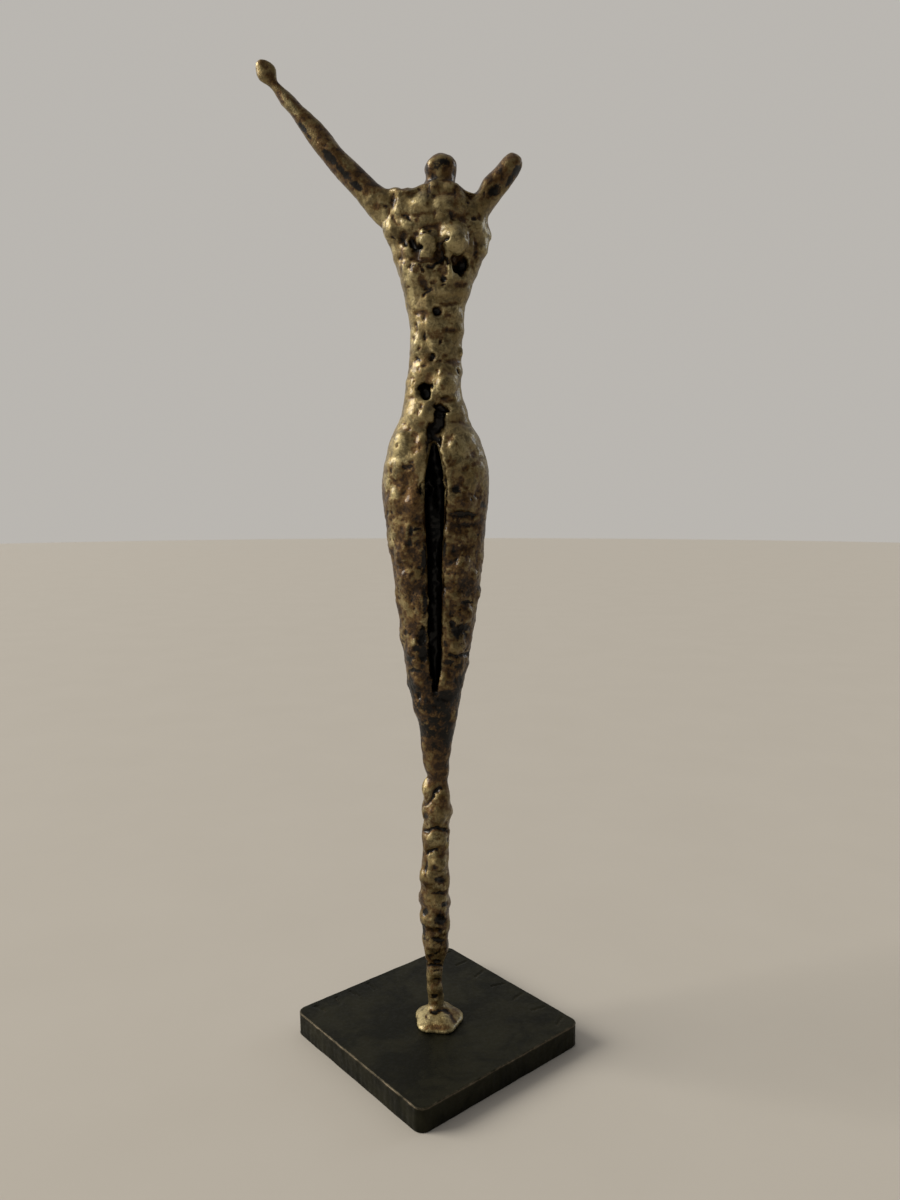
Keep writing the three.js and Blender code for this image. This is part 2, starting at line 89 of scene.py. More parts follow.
# Lumps: x, y, half width, half height, lean, rise.
LUMPS = [
    # Chest.
    (458, 245, 4, 4, 0, 0.84),
    (427, 247, 3.1, 3.7, 0, 0.77),
    (406, 250, 2.1, 2.4, 0, 0.49),
    (415, 200, 3.9, 2.4, 0, 0.35),
    (437, 203, 2.1, 2.4, 0, 0.35),
    (449, 202, 2.7, 2.7, 0, 0.35),
    (420, 220, 3.7, 2.1, 0, 0.35),
    (441, 216, 1.8, 3, 0, 0.28),
    (462, 222, 2.7, 2.7, 0, 0.24),
    (471, 209, 2.4, 2.4, 0, 0.21),
    (385, 213, 2.1, 3, 0, 0.28),
    (450, 272, 1.38, 2.8, 15, 0.84),
    (419, 276, 3.1, 4.3, 15, 0.49),
    (406, 272, 1.5, 3.4, 20, 0.28),
    (442, 292, 3.7, 2.1, 0, 0.42),
    (424, 301, 2.5, 1.8, 0, 0.21),
    (477, 262, 1.5, 4.9, -10, 0.28),
    # Belly.
    (448.5, 388, 3.7, 3.9, 0, 0.77),
    (411, 396, 2.5, 3.4, 0, 0.35),
    (411, 372, 1.5, 2.2, 0, 0.28),
    (418, 326, 1.23, 1.8, 0, 0.28),
    (431, 323, 3.1, 2.5, 0, 0.17),
    (451, 345, 3.1, 2.8, 0, 0.17),
    (432, 345, 2.5, 2.2, 0, 0.17),
    (415, 345, 1.5, 3.1, 0, 0.21),
    # Hips.
    (398, 447, 3.4, 5, 0, 0.56),
    (388, 485, 2.2, 4.4, 0, 0.42),
    (412, 492, 3.8, 4.7, 0, 0.28),
    (412, 413, 2.5, 2.5, 0, 0.21),
    (462, 450, 4.1, 5.6, 0, 0.42),
    (471, 482, 2.8, 4.7, 0, 0.56),
    (455, 503, 1.9, 2.2, 0, 0.42),
    (468, 503, 2.5, 2.8, 0, 0.28),
    (452, 428, 2.2, 2.5, 0, 0.21),
    # Thighs and knees.
    (449, 536, 1.9, 1.9, 0, 0.42),
    (462, 541, 3.2, 3.2, 0, 0.42),
    (452, 558, 2.9, 2.5, 0, 0.35),
    (467, 565, 3.2, 2.9, 0, 0.56),
    (450, 585, 2.5, 3.8, 0, 0.28),
    (455, 611, 2.9, 2.6, 0, 0.35),
    (467, 615, 2.6, 2.6, 0, 0.49),
    (404, 548, 2.5, 3.2, 0, 0.21),
    (413, 575, 3.2, 3.8, 0, 0.21),
    (405, 602, 2.2, 3.2, 0, 0.21),
    (411, 619, 2.9, 2.9, 0, 0.21),
    (460, 647, 3.4, 2.6, 0, 0.98),
    (417, 661, 2.2, 2.2, 0, 0.7),
    (418, 681, 2.4, 2.6, 0, 0.42),
    (432, 697, 1.8, 1.9, 0, 0.35),
    # Shank.
    (442, 801, 2.9, 4.6, 0, 0.9),
    (427, 793, 1.6, 2.9, -15, 0.6),
    (426, 808, 1.31, 1.47, 0, 0.8),
    (436, 818, 3.3, 3.6, 0, 0.9),
    (436, 841, 3.6, 3, 0, 0.9),
    (447.5, 843, 0.99, 2.3, 0, 0.8),
    (440, 862, 2.8, 3, 0, 0.9),
    (421.5, 872, 0.99, 3.6, 0, 0.7),
    (444, 872, 2, 0.99, 15, 0.5),
    (437, 886, 2.6, 1.49, 0, 0.7),
    (444, 900, 2, 2, 0, 0.5),
    (430, 903, 2, 1.7, 0, 0.4),
    (443, 931, 2, 1.7, 0, 0.5),
    (436, 973, 1.7, 1.5, 0, 0.5),
    (437, 987, 1.7, 1.7, 0, 0.5),
    # Puddle.
    (445, 1016, 1.7, 1.5, 0, 0.3),
    # Head and arms.
    (436, 183, 2.7, 2.1, 0, 0.35),
    (448, 183.5, 2.4, 2.1, 0, 0.35),
    (429, 166, 1.8, 2.7, 0, 0.21),
    (452, 166, 1.8, 2.7, 0, 0.21),
    (371, 200, 2.4, 2.4, 0, 0.35),
]

# Dark marks and pits: x, y, half width, half height, lean, depth, how black and how brown. Most are stains, scale and
# pits of the brass; the black in the deep pits is partly painted shade, and a few brown rows are painted shade under
# overhangs.
MARKS = [
    # Collar and shoulders. The first two rows are painted shade under the collar.
    (410, 192, 2.4, 0.79, 0, 0, 0.09, 0.7),
    (440, 193, 2.4, 0.61, 0, 0, 0.09, 0.5),
    (428, 193, 0.55, 2.4, 0, 0.4, 0.54, 0.5),
    (428, 204, 0.61, 0.91, 0, 0.3, 0.36, 0.5),
    (433, 195, 0.79, 0.97, 0, 0.3, 0.45, 0.5),
    (455, 190, 0.55, 1.5, 8, 0.3, 0.45, 0.6),
    (393, 200, 0.79, 2.7, 0, 0.4, 0.54, 0.6),
    (386, 206, 1.03, 0.91, 0, 0.3, 0.68, 0.8),
    (394, 218, 0.61, 1.5, 15, 0.4, 0.45, 0.6),
    (397, 223, 1.22, 0.61, -20, 0.2, 0.32, 0.6),
    (407, 215.5, 2.1, 1.06, -20, 0.3, 0.18, 0.8),
    (404.5, 214.5, 0.3, 0.67, 35, 0.63, 0.7, 1),
    (407, 216, 0.3, 0.73, 35, 0.63, 0.7, 1),
    (409.3, 216.5, 0.3, 0.91, 20, 0.9, 1, 1),
    (411.3, 218.5, 0.3, 0.61, 20, 0.63, 0.7, 1),
    (417, 213.5, 1.8, 0.67, 0, 0.2, 0.18, 0.75),
    (419, 215, 0.55, 0.36, 0, 0.21, 0.49, 1),
    (435.5, 214, 0.49, 2, 0, 0.2, 0.09, 0.6),
    (453, 215.5, 0.97, 1.46, 15, 0.7, 0.54, 1),
    (451, 222, 0.61, 0.91, 0, 0, 0.18, 0.7),
    (473.5, 218.5, 0.91, 0.88, 0, 0.8, 0.63, 1),
    (469, 201, 0.55, 0.52, 0, 0.49, 0.63, 1),
    (463, 218, 0.61, 0.49, 0, 0.28, 0.35, 0.9),
    (468, 226.5, 0.55, 0.43, 0, 0.35, 0.42, 1),
    (468, 237, 0.73, 0.61, 0, 0.21, 0.21, 0.7),
    (458, 208, 0.67, 0.43, 0, 0.21, 0.21, 0.6),
    (479, 216, 0.79, 1.8, 5, 0.4, 0.45, 0.9),
    (482, 199, 2.4, 1.8, 0, 0, 0.14, 0.5),
    (493, 193, 1.8, 1.21, 0, 0.2, 0.81, 0.8),
    (484.5, 194, 0.36, 1.8, 0, 0.3, 0.63, 0.7),
    # Breasts. The first row sinks a shallow hollow under the collar's lumps and paints shade in it.
    (428, 226, 2.6, 1.04, 15, 0.5, 0.27, 0.9),
    (431, 229.5, 0.91, 0.4, 10, 0.6, 0.77, 1),
    (422, 232.8, 1.34, 0.49, 12, 0.5, 0.54, 1),
    (415, 247, 1.28, 2.9, 12, 2.4, 1, 1),
    (419.5, 248.5, 0.92, 0.85, 0, 1.6, 1, 1),
    (412.5, 239, 0.98, 1.04, 0, 1.6, 1, 1),
    (403, 237, 1.7, 2.4, 0, 1, 0.5, 1),
    (405, 243, 1.07, 0.85, 20, 0.8, 0.81, 1),
    (399, 243, 0.61, 0.76, 0, 0.28, 0.56, 1),
    (393.5, 238.5, 0.37, 1.28, 40, 0.8, 0.85, 1),
    (402, 250, 0.92, 1.5, 0, 0, 0.27, 0.8),
    (400, 258, 0.67, 0.73, 0, 0.28, 0.49, 0.8),
    (403, 263, 0.92, 0.49, 0, 0.3, 0.54, 0.8),
    (446.3, 237.6, 0.88, 0.73, 15, 1.3, 1, 1),
    (438, 245, 0.79, 1.1, 0, 0.4, 0.45, 0.9),
    (476, 250, 0.92, 4, 5, 0.5, 0.5, 0.9),
    (472, 263, 0.92, 2.4, 0, 0.3, 0.27, 0.6),
    # Ribs.
    (462.5, 264.5, 2.1, 2.1, 0, 3, 1, 1),
    (457.5, 267, 1.38, 1.7, 20, 2.2, 1, 1),
    (462.5, 272, 1.47, 1.5, 0, 2.2, 0.85, 1),
    (443, 269, 1.7, 2.9, 0, 0.9, 0.32, 0.6),
    (443, 279, 0.92, 1.23, 0, 1.2, 1, 1),
    (443.5, 284.5, 1.04, 0.37, 0, 0.8, 0.85, 1),
    (434, 281, 1.23, 0.92, 0, 0.5, 0.45, 0.8),
    (417, 270, 1.41, 1.7, 0, 0.5, 0, 0.75),
    (423, 281, 1.8, 2.6, 20, 0.9, 0.36, 0.8),
    (427, 288.5, 1.5, 0.92, 0, 0.8, 0.63, 1),
    (432, 289, 0.74, 0.61, 0, 0.56, 0.7, 1),
    (408, 287, 0.67, 0.49, 0, 0.28, 0.56, 0.9),
    (401, 270, 0.61, 1.22, 0, 0.2, 0.45, 0.6),
    # Painted shade under the ribs, in a shallow hollow.
    (460, 284, 2.3, 1.23, 12, 0.5, 0.32, 1),
    # Belly.
    (449, 303.3, 3.7, 0.71, 3, 0.3, 0.09, 0.9),
    (437.5, 310.8, 1.5, 1.32, 0, 1.5, 0.95, 1),
    (422, 312, 2.5, 1.11, 0, 0.4, 0.32, 0.95),
    (417, 313.6, 0.8, 0.49, 0, 0.35, 0.56, 1),
    (424.5, 315.5, 0.8, 1.42, 0, 0.5, 0.5, 1),
    (415.3, 327, 0.4, 2.2, 5, 0.6, 0.54, 0.6),
    (409.5, 326.5, 0.62, 0.92, 0, 0.3, 0.68, 0.6),
    (413.5, 337.5, 0.46, 0.68, 0, 0.28, 0.49, 0.8),
    (424.6, 336.8, 0.46, 1.42, 3, 0.7, 0.68, 1),
    (437, 334, 2.8, 1.5, 0, 0.1, 0.09, 0.7),
    (442, 337.4, 0.59, 0.52, 30, 0.42, 0.52, 1),
    (439.7, 341.2, 0.59, 0.93, 0, 0.6, 0.63, 1),
    (450.3, 330.2, 2.7, 0.99, 6, 0.3, 0.23, 1),
    (419.2, 347.5, 0.77, 0.74, 0, 0.49, 0.52, 1),
    (431.8, 356.2, 1.24, 1.18, 0, 1.4, 0.9, 1),
    (440.8, 359, 0.8, 0.71, 25, 0.56, 0.52, 1),
    (436.5, 361, 0.77, 0.37, 20, 0.21, 0.28, 0.9),
    (427, 360, 1.9, 2.5, 0, 0.1, 0.09, 0.6),
    (425, 365, 1.11, 0.68, 0, 0.3, 0.36, 1),
    (445.5, 355, 0.99, 0.99, 0, 0.1, 0.09, 0.8),
    (452.5, 362, 2.5, 1.18, -5, 0.3, 0.18, 0.95),
    (458, 370, 0.46, 0.84, 30, 0.9, 1, 1),
    (437.5, 371.5, 0.4, 1.12, 0, 0.4, 0.36, 0.8),
    (417.2, 359, 1.18, 0.4, 0, 0.7, 0.85, 1),
    (413.6, 361.8, 0.74, 0.68, 0, 0.35, 0.42, 0.7),
    (409.5, 366, 0.62, 1.24, 0, 0.3, 0.41, 0.5),
    (408.4, 371, 0.43, 0.56, 0, 0.21, 0.49, 0.7),
    (419, 369.5, 0.59, 0.59, 0, 0.35, 0.45, 1),
    (422.3, 376, 0.78, 0.34, -20, 0.28, 0.56, 1),
    (413.8, 382, 0.47, 0.62, 0, 0.35, 0.39, 0.6),
    (412, 378, 1.6, 0.28, 0, 0.3, 0.45, 0.6),
    (429, 378, 1.6, 2.2, 0, 0, 0, 0.75),
    (425.6, 391.5, 1.43, 2.5, 14, 2.6, 1, 1),
    (423, 387.5, 1.7, 0.93, 8, 1.6, 1, 1),
    (430, 386, 0.93, 0.74, 0, 1, 0.9, 1),
    (442.5, 388, 0.99, 1.06, 0, 0, 0, 0.75),
    (447.5, 399, 2.5, 1.12, 0, 0.5, 0.32, 1),
    (411, 398, 1.24, 0.81, 0, 0.3, 0.27, 0.8),
    (421, 406, 0.75, 0.93, 0, 0.3, 0.36, 0.9),
    (441.5, 406.8, 3, 0.87, -16, 1.6, 1, 1),
    (440, 414, 1.6, 2.2, 0, 1.6, 1, 1),
    (439.5, 422, 1.6, 1.9, 10, 1.4, 1, 1),
    (436, 428, 1.4, 1.6, 0, 1.2, 0.9, 1),
    (431, 432, 1.6, 2.5, 0, 1, 0.8, 1),
    (429, 441, 1.09, 1.6, 0, 0.8, 0.63, 1),
    # Left hip.
    (412, 417, 0.5, 0.5, 0, 0.28, 0.28, 0.6),
    (417.5, 412, 0.56, 0.75, 0, 0.28, 0.35, 0.7),
    (404, 424.5, 0.53, 0.44, 0, 0.28, 0.35, 0.6),
    (409.5, 430, 0.53, 0.62, 0, 0.28, 0.35, 0.8),
    (421, 425, 1.25, 1.25, 0, 0.2, 0.27, 0.7),
    (397, 446, 0.28, 0.88, -12, 0.5, 0.45, 1),
    (394, 435, 1.6, 0.94, 10, 0, 0.27, 0.4),
    (418, 446, 2.2, 2.5, 0, 0.1, 0.14, 0.7),
    (412, 450, 1.31, 1.5, 0, 0.4, 0.09, 0.7),
    (414.5, 441.5, 0.62, 0.56, 0, 0.35, 0.52, 1),
    (409, 453, 0.44, 0.5, 0, 0.28, 0.56, 1),
    (419, 448, 0.5, 0.94, 0, 0.4, 0.63, 1),
    (407, 467, 2.5, 1.25, 8, 0.6, 0.45, 1),
    (402, 466, 0.56, 0.81, 0, 0.35, 0.7, 1),
    (406.5, 467, 0.5, 0.81, 0, 0.35, 0.63, 1),
    (410, 466, 0.44, 0.75, 0, 0.35, 0.63, 1),
    (413, 470, 0.47, 0.63, 0, 0.21, 0.49, 1),
    (411, 461.5, 1.07, 0.5, 15, 0.5, 0.63, 1),
    (408, 476, 3.1, 2.2, 0, 0.1, 0.23, 0.8),
    (390.5, 471, 0.56, 0.94, 0, 0.3, 0.54, 0.7),
    (411, 502, 3.8, 7.6, 0, 0, 0.05, 0.85),
    (418, 491, 1.26, 1.6, 0, 0.2, 0.36, 1),
    (387.5, 512, 0.41, 0.95, 0, 0.3, 0.63, 0.8),
    (426, 489, 2.5, 2.2, 0, 2.4, 1, 1),
    (417, 519, 2.2, 2.2, 0, 0, 0.18, 1),
    # Right hip.
    (436.5, 440, 1.4, 2.6, 20, 1.2, 1, 1),
    (433, 448, 1.6, 2.8, 0, 1.6, 1, 1),
    (434.5, 460, 2, 2.8, 0, 1.8, 1, 1),
    (437, 470, 2.7, 2.5, 0, 1.8, 1, 1),
    (439, 481, 2.5, 2.8, 0, 1.6, 1, 1),
    (440, 492, 2.4, 2.8, 0, 1.2, 1, 1),
    (441, 503, 1.9, 2.8, 0, 1, 1, 1),
    (449.5, 437.5, 1.41, 1.25, -20, 0.3, 0.23, 0.8),
    (452.5, 434, 0.47, 0.62, 0, 0.21, 0.42, 1),
    (447, 443, 0.94, 0.28, 10, 0.3, 0.45, 1),
    (456.5, 445, 0.31, 0.94, 0, 0.2, 0.27, 0.8),
    (452, 464.5, 1.6, 1.32, 10, 0.4, 0.18, 0.8),
    (465.5, 469, 1.7, 1, 40, 0.3, 0.14, 0.85),
    (453, 476, 0.31, 1.6, 0, 0.2, 0.27, 0.7),
    (475, 495.6, 0.53, 0.47, 0, 0.42, 0.66, 1),
    (455.5, 490, 2, 1.6, 0, 1.1, 0.7, 1),
    (466, 501, 1.9, 3.1, 0, 0, 0.09, 0.85),
    (462, 515.5, 4.7, 1.5, 0, 1.2, 0.6, 1),
    (484, 505, 1.26, 1.26, 0, 0.2, 0.63, 0.8),
    (466, 525, 4.1, 1.07, 0, 0.4, 0.45, 0.9),
    (444.5, 510, 0.95, 5, 0, 0.3, 0.63, 1),
    # Left thigh.
    (424, 560, 1.08, 7, 0, 0.2, 0.75, 1),
    (444, 548, 0.95, 4.4, 0, 0.2, 0.7, 1),
    (425, 600, 1.08, 6.4, 0, 0.2, 0.7, 1),
    (443, 590, 0.83, 6.4, 0, 0.2, 0.5, 1),
    (410, 531.5, 0.95, 1.6, 0, 1.2, 1, 1),
    (414, 529.3, 3.5, 0.41, 4, 0.6, 0.81, 1),
    (409.5, 543, 0.76, 1.6, 0, 0.4, 0.63, 1),
    (413, 597, 3.5, 2.2, 0, 0.1, 0.36, 0.9),
    (406, 632, 0.58, 0.96, 0, 0.3, 0.63, 1),
    (405, 626, 0.77, 0.51, 0, 0.21, 0.42, 1),
    (424, 640, 2.6, 3.8, 0, 1.6, 1, 1),
    (425, 655, 2.2, 2.6, 0, 1.2, 1, 1),
    (417, 649, 1.9, 1.09, 0, 0.7, 0.77, 1),
    (417, 661, 1.6, 1.8, 0, 0, 0, 0.7),
    (415, 671, 2.6, 0.8, 0, 0.5, 0.68, 1),
    (418, 680, 1.9, 2.3, 0, 0, 0, 0.7),
    (418.5, 697, 0.71, 1.03, 0, 0.7, 0.85, 1),
    (432, 697, 1.6, 1.9, 0, 0, 0, 0.2),
    # Right thigh and knee.
    (448.5, 535, 1.6, 1.6, 0, 0, 0, 0.5),
    (450, 559, 2.5, 1.9, 0, 0, 0, 0.7),
    (467, 588, 3.5, 4.1, 0, 0.4, 0.41, 1),
    (466, 602.3, 2.5, 0.57, 0, 0.8, 0.85, 1),
    (465, 616, 1.44, 1.44, 0, 0, 0, 0.9),
    (455, 612, 1.9, 1.6, 0, 0, 0, 0.7),
    (459, 631, 3, 2.7, 0, 2.2, 1, 1),
    (452, 624, 1.28, 1.28, 0, 1, 0.85, 1),
    (467, 628, 1.6, 1.28, 0, 1, 0.8, 1),
    # Shins and ankle.
    (441, 765, 2.6, 4.2, 0, 0, 0, 0.6),
    # Shank.
    (438, 790, 0.98, 1.31, 0, 0.7, 0.63, 1),
    (443, 803, 2.3, 3.6, 0, 0, 0.09, 0.75),
    (425.6, 808, 0.52, 0.85, -40, 0.21, 0.42, 0.8),
    (425, 816.5, 1.18, 1.18, 0, 0.4, 0.63, 1),
    (447.7, 838.5, 0.39, 0.99, 0, 0.9, 1, 1),
    (425.5, 845, 0.85, 3.9, 0, 0, 0.32, 0.7),
    (435, 868, 1.32, 0.99, 0, 0.4, 0.63, 1),
    (425.3, 869, 0.59, 3.6, 0, 0.4, 0.63, 1),
    (440, 880, 2.6, 1.06, 0, 0.6, 0.77, 1),
    (440, 893.5, 2.6, 0.73, 0, 0.6, 0.81, 1),
    (434.5, 899, 0.99, 0.99, 0, 0, 0, 0.5),
    (445, 905, 1.32, 0.99, 0, 0.4, 0.81, 1),
    (425, 912, 0.99, 1.7, 0, 0.4, 1, 1),
    (441, 920, 2.3, 1.7, 0, 0.6, 1, 1),
    (437, 940, 2.7, 1, 0, 0.4, 1, 1),
    (437, 961.5, 1.8, 0.87, 0, 0.5, 1, 1),
    (425, 961, 0.87, 1, 0, 0.3, 1, 1),
    # Rod.
    (437, 969.5, 1.34, 0.4, 0, 0.4, 0.81, 1),
    (436.5, 979, 1.34, 0.5, 0, 0.4, 0.81, 1),
    (434, 996.5, 1.7, 0.8, 15, 0.5, 1, 1),
    # Puddle.
    (426.7, 1016, 0.5, 0.57, 0, 0.28, 0.42, 1),
    (418.5, 1006.5, 1.01, 0.67, 10, 0.2, 0.18, 0.8),
    (456, 1012, 2, 2.4, 0, 0, 0, 0.6),
    (434, 1004, 1.34, 1.01, 0, 0.2, 0.18, 0.8),
    (437, 1027, 5.4, 1.35, 0, 0, 0.23, 0.8),
    # Long arm and hand.
    (329, 157, 3.6, 1.5, -49, 0.15, 0.95, 1),
    (343, 171.5, 4.2, 1.35, -45, 0.15, 0.9, 1),
    (357, 185.5, 3, 1.2, -43, 0.1, 0.8, 1),
    (303, 128, 2.7, 1.14, -52, 0.1, 0.85, 0.9),
    (310, 137, 1.36, 0.9, -45, 0.1, 0.7, 0.9),
    (317, 143, 2.7, 0.78, -45, 0, 0, 0.6),
    (300, 108, 4.2, 0.9, -52, 0, 0.05, 0.6),
    (318, 130, 4.2, 0.9, -48, 0, 0.05, 0.6),
    (340, 153, 4.8, 0.91, -45, 0, 0.1, 0.7),
    (262, 62, 2.1, 1.49, -55, 0, 0.1, 0.55),
    (269, 75, 1.8, 1.5, -55, 0, 0.35, 0.7),
    (274, 84, 1.2, 1.2, 0, 0, 0.25, 0.7),
    (266, 65, 3, 1.02, -56, 0.2, 0.32, 0.5),
    (324, 145, 1.03, 0.6, -20, 0.4, 0.63, 0.9),
    (377, 206, 1.8, 1.5, 0, 0.1, 0.27, 0.8),
    # Head.
    (437, 165, 2.4, 2.1, 0, 0.1, 0.6, 0.6),
    (444, 161, 2.7, 1.03, -5, 0.1, 0.8, 0.6),
    (434, 177, 1.5, 1.8, 0, 0.1, 0.65, 0.7),
    (446, 176, 2.1, 2.4, 0, 0, 0.3, 0.7),
    (437, 186, 1.5, 1.5, 0, 0.1, 0.4, 0.6),
    (433, 180, 1.5, 0.73, 8, 0.2, 0.81, 0.8),
    (430, 187, 0.55, 1.8, 0, 0.2, 0.72, 0.7),
    (450, 167, 1.8, 2.1, 0, 0, 0, 0.75),
    (453.5, 174, 0.36, 1.8, 0, 0.2, 0.63, 0.8),
    (426.8, 168, 0.6, 1.8, 0, 0, 0.68, 0.7),
    # Short arm.
    (517, 170, 1.21, 3.3, -30, 0.15, 0.8, 1),
    (510, 181, 1.03, 2.7, -32, 0.15, 0.8, 1),
    (495, 190, 2.7, 1.8, 25, 0.15, 0.7, 0.9),
    (488, 196, 1.8, 1.5, 0, 0, 0.35, 0.8),
    (503, 172, 1.21, 2.7, -38, 0, 0.1, 0.7),
    (501, 180, 1.8, 1.8, 0, 0, 0.05, 0.9),
]

# Patches of paler brass, and painted highlights: the glints and glossy streaks where the left edges, lumps, shank and
# puddle catch the light. Each is x, y, half width, half height, lean and how much lighter.
PALE_AND_GLINTS = [
    # Collar and shoulders.
    (418, 197, 2.7, 1.8, 0, 0.35),
    (436, 203, 1.5, 1.8, 0, 0.45),
    (448, 202, 1.8, 2.1, 0, 0.35),
    (388.5, 198, 0.36, 2.7, 0, 0.5),
    (384, 217, 1.8, 2.1, 0, 0.35),
    (396.5, 211, 0.61, 1.09, 20, 1),
    # Breasts.
    (392.5, 248, 0.55, 1.5, 5, 1),
    (427, 247, 2.4, 2.7, 0, 0.2),
    (458, 244, 3.1, 3.1, 0, 0.25),
    (447.5, 248, 0.73, 2.4, 0, 0.5),
    (486, 240, 0.55, 4.3, -4, 0.5),
    # Ribs.
    (450, 272, 1.04, 2.4, 15, 0.6),
    (416.5, 273.5, 0.55, 0.73, 0, 0.9),
    (406, 274, 0.8, 2.8, 20, 0.6),
    (412, 297, 0.92, 3.7, 12, 0.9),
    (441, 291, 2.8, 1.5, 0, 0.3),
    # Belly.
    (436, 322, 3.7, 1.5, 0, 0.25),
    (418.5, 326, 0.8, 1.5, 0, 0.7),
    (412.5, 332, 0.49, 0.8, 20, 1),
    (416, 344, 1.42, 3.7, 0, 0.8),
    (440, 348, 3.7, 1.24, 0, 0.2),
    (455, 369.5, 0.37, 0.62, 0, 0.7),
    (417, 365, 0.8, 0.93, 0, 0.8),
    (414.5, 374, 0.93, 0.93, 0, 0.9),
    (434, 389, 0.81, 1.43, 10, 0.8),
    (452, 384, 1.9, 2.2, 0, 0.2),
    (405.5, 394, 0.62, 1.6, 0, 0.8),
    (413, 405, 2.2, 1.24, 0, 0.5),
    # Left hip.
    (412, 419, 1.6, 1.6, 0, 0.4),
    (399, 448, 3.1, 4.4, 0, 0.6),
    (394.5, 466, 0.44, 1, -10, 1),
    (394.8, 475.5, 0.28, 1.26, 0, 1),
    (393.5, 491, 1.26, 2.5, 0, 0.75),
    (386.5, 482, 1.1, 2.5, 0, 0.45),
    # Right hip.
    (461, 448, 3.4, 5, 0, 0.35),
    (450.3, 480, 0.44, 2.5, 0, 0.6),
    (470, 482, 1.6, 4.1, 0, 0.4),
    (483, 486, 0.63, 4.4, 0, 0.4),
    # Left thigh.
    (391.5, 537, 1.26, 2.8, 0, 0.7),
    (406.3, 531, 0.38, 0.95, 0, 0.5),
    (404, 600, 1.27, 2.9, 0, 0.5),
    (403, 632, 0.96, 5.1, 0, 0.45),
    (408.5, 635, 0.32, 0.96, -35, 0.8),
    (412.3, 642, 0.83, 1.28, 0, 0.8),
    (417, 661, 1.6, 1.8, 0, 0.2),
    (418, 680, 1.9, 2.3, 0, 0.1),
    (432, 697, 1.6, 1.9, 0, 0.35),
    # Right thigh and knee.
    (448.5, 535, 1.6, 1.6, 0, 0.3),
    (462, 541, 2.5, 2.5, 0, 0.2),
    (459, 544.5, 1.27, 0.25, 35, 0.8),
    (462, 555, 0.32, 1.9, -30, 0.5),
    (462, 583, 0.25, 0.95, -25, 1),
    (446.5, 603, 0.77, 1.47, 0, 0.75),
    (451.5, 646.5, 0.51, 0.77, 0, 0.6),
    (460, 646, 2.6, 1.9, 0, 0.35),
    # Shins and ankle.
    (443, 672, 0.84, 5.1, 0, 0.3),
    (424, 714, 1.29, 2.9, 20, 0.25),
    (445, 741, 1.3, 1.9, 0, 0.2),
    (425, 746, 0.78, 3.9, 5, 0.35),
    (427, 764, 1.3, 2.9, 0, 0.3),
    (426.5, 779, 0.39, 2, 0, 1),
    (424, 789.5, 0.42, 1.6, -18, 1),
    # Shank.
    (448, 797, 0.52, 1.31, 0, 0.4),
    (429, 819, 0.29, 1.24, -40, 1),
    (447, 817.5, 0.46, 1.31, 0, 0.9),
    (446, 841, 0.53, 1.8, 10, 0.9),
    (434, 840, 2.3, 2, 0, 0.3),
    (433.5, 855.5, 1.8, 0.49, 38, 1),
    (428.5, 857.5, 0.56, 1.05, 0, 1),
    (444, 872.4, 1.6, 0.4, 15, 0.8),
    (428.5, 876, 0.33, 1.8, 0, 0.6),
    (446, 888, 0.46, 0.79, 0, 0.7),
    (447, 899, 0.73, 1.32, 0, 0.6),
    (434.5, 899, 0.99, 0.99, 0, 0.3),
    (431, 919, 1, 0.43, 0, 0.9),
    (444, 931.5, 1.13, 0.37, 10, 0.7),
    (427, 938.5, 0.67, 0.33, 0, 0.8),
    (428, 953, 0.67, 0.67, 0, 0.8),
    (435.5, 956, 0.5, 0.47, 0, 0.5),
    # Rod.
    (427.5, 980, 1.2, 5.4, 4, 0.3),
    (438.5, 972.5, 0.67, 0.6, 0, 0.5),
    (438, 987, 0.54, 1, 0, 0.35),
    # Puddle.
    (423, 1013, 2.2, 2.7, 0, 1),
    (445, 1016, 1.7, 1.48, 0, 0.6),
    (435, 1018, 2, 1.7, 0, 0.4),
    (446, 1004, 2, 1.34, 0, 0.35),
    (433, 1028.4, 1.35, 0.3, 8, 0.8),
    (445, 1033, 1.7, 1.35, 0, 0.45),
    # Long arm and hand.
    (341, 168, 1.5, 0.36, -45, 0.5),
    (259, 67, 1.8, 0.48, -55, 0.6),
    (291, 106, 3.9, 1.02, -50, 0.55),
    (293, 112, 1.2, 0.27, -58, 1),
    (325, 149, 1.03, 0.27, 5, 0.6),
    (346, 163, 4.2, 1.03, -38, 0.35),
    (363, 198, 0.49, 1.5, 15, 0.8),
    (372, 204, 0.3, 1.21, -25, 0.4),
    # Head.
    (432, 159, 2.1, 1.33, 15, 0.35),
    (441.7, 170, 0.3, 1.5, 0, 0.4),
    # Short arm.
    (506, 168, 1.5, 2.1, 0, 0.3),
]

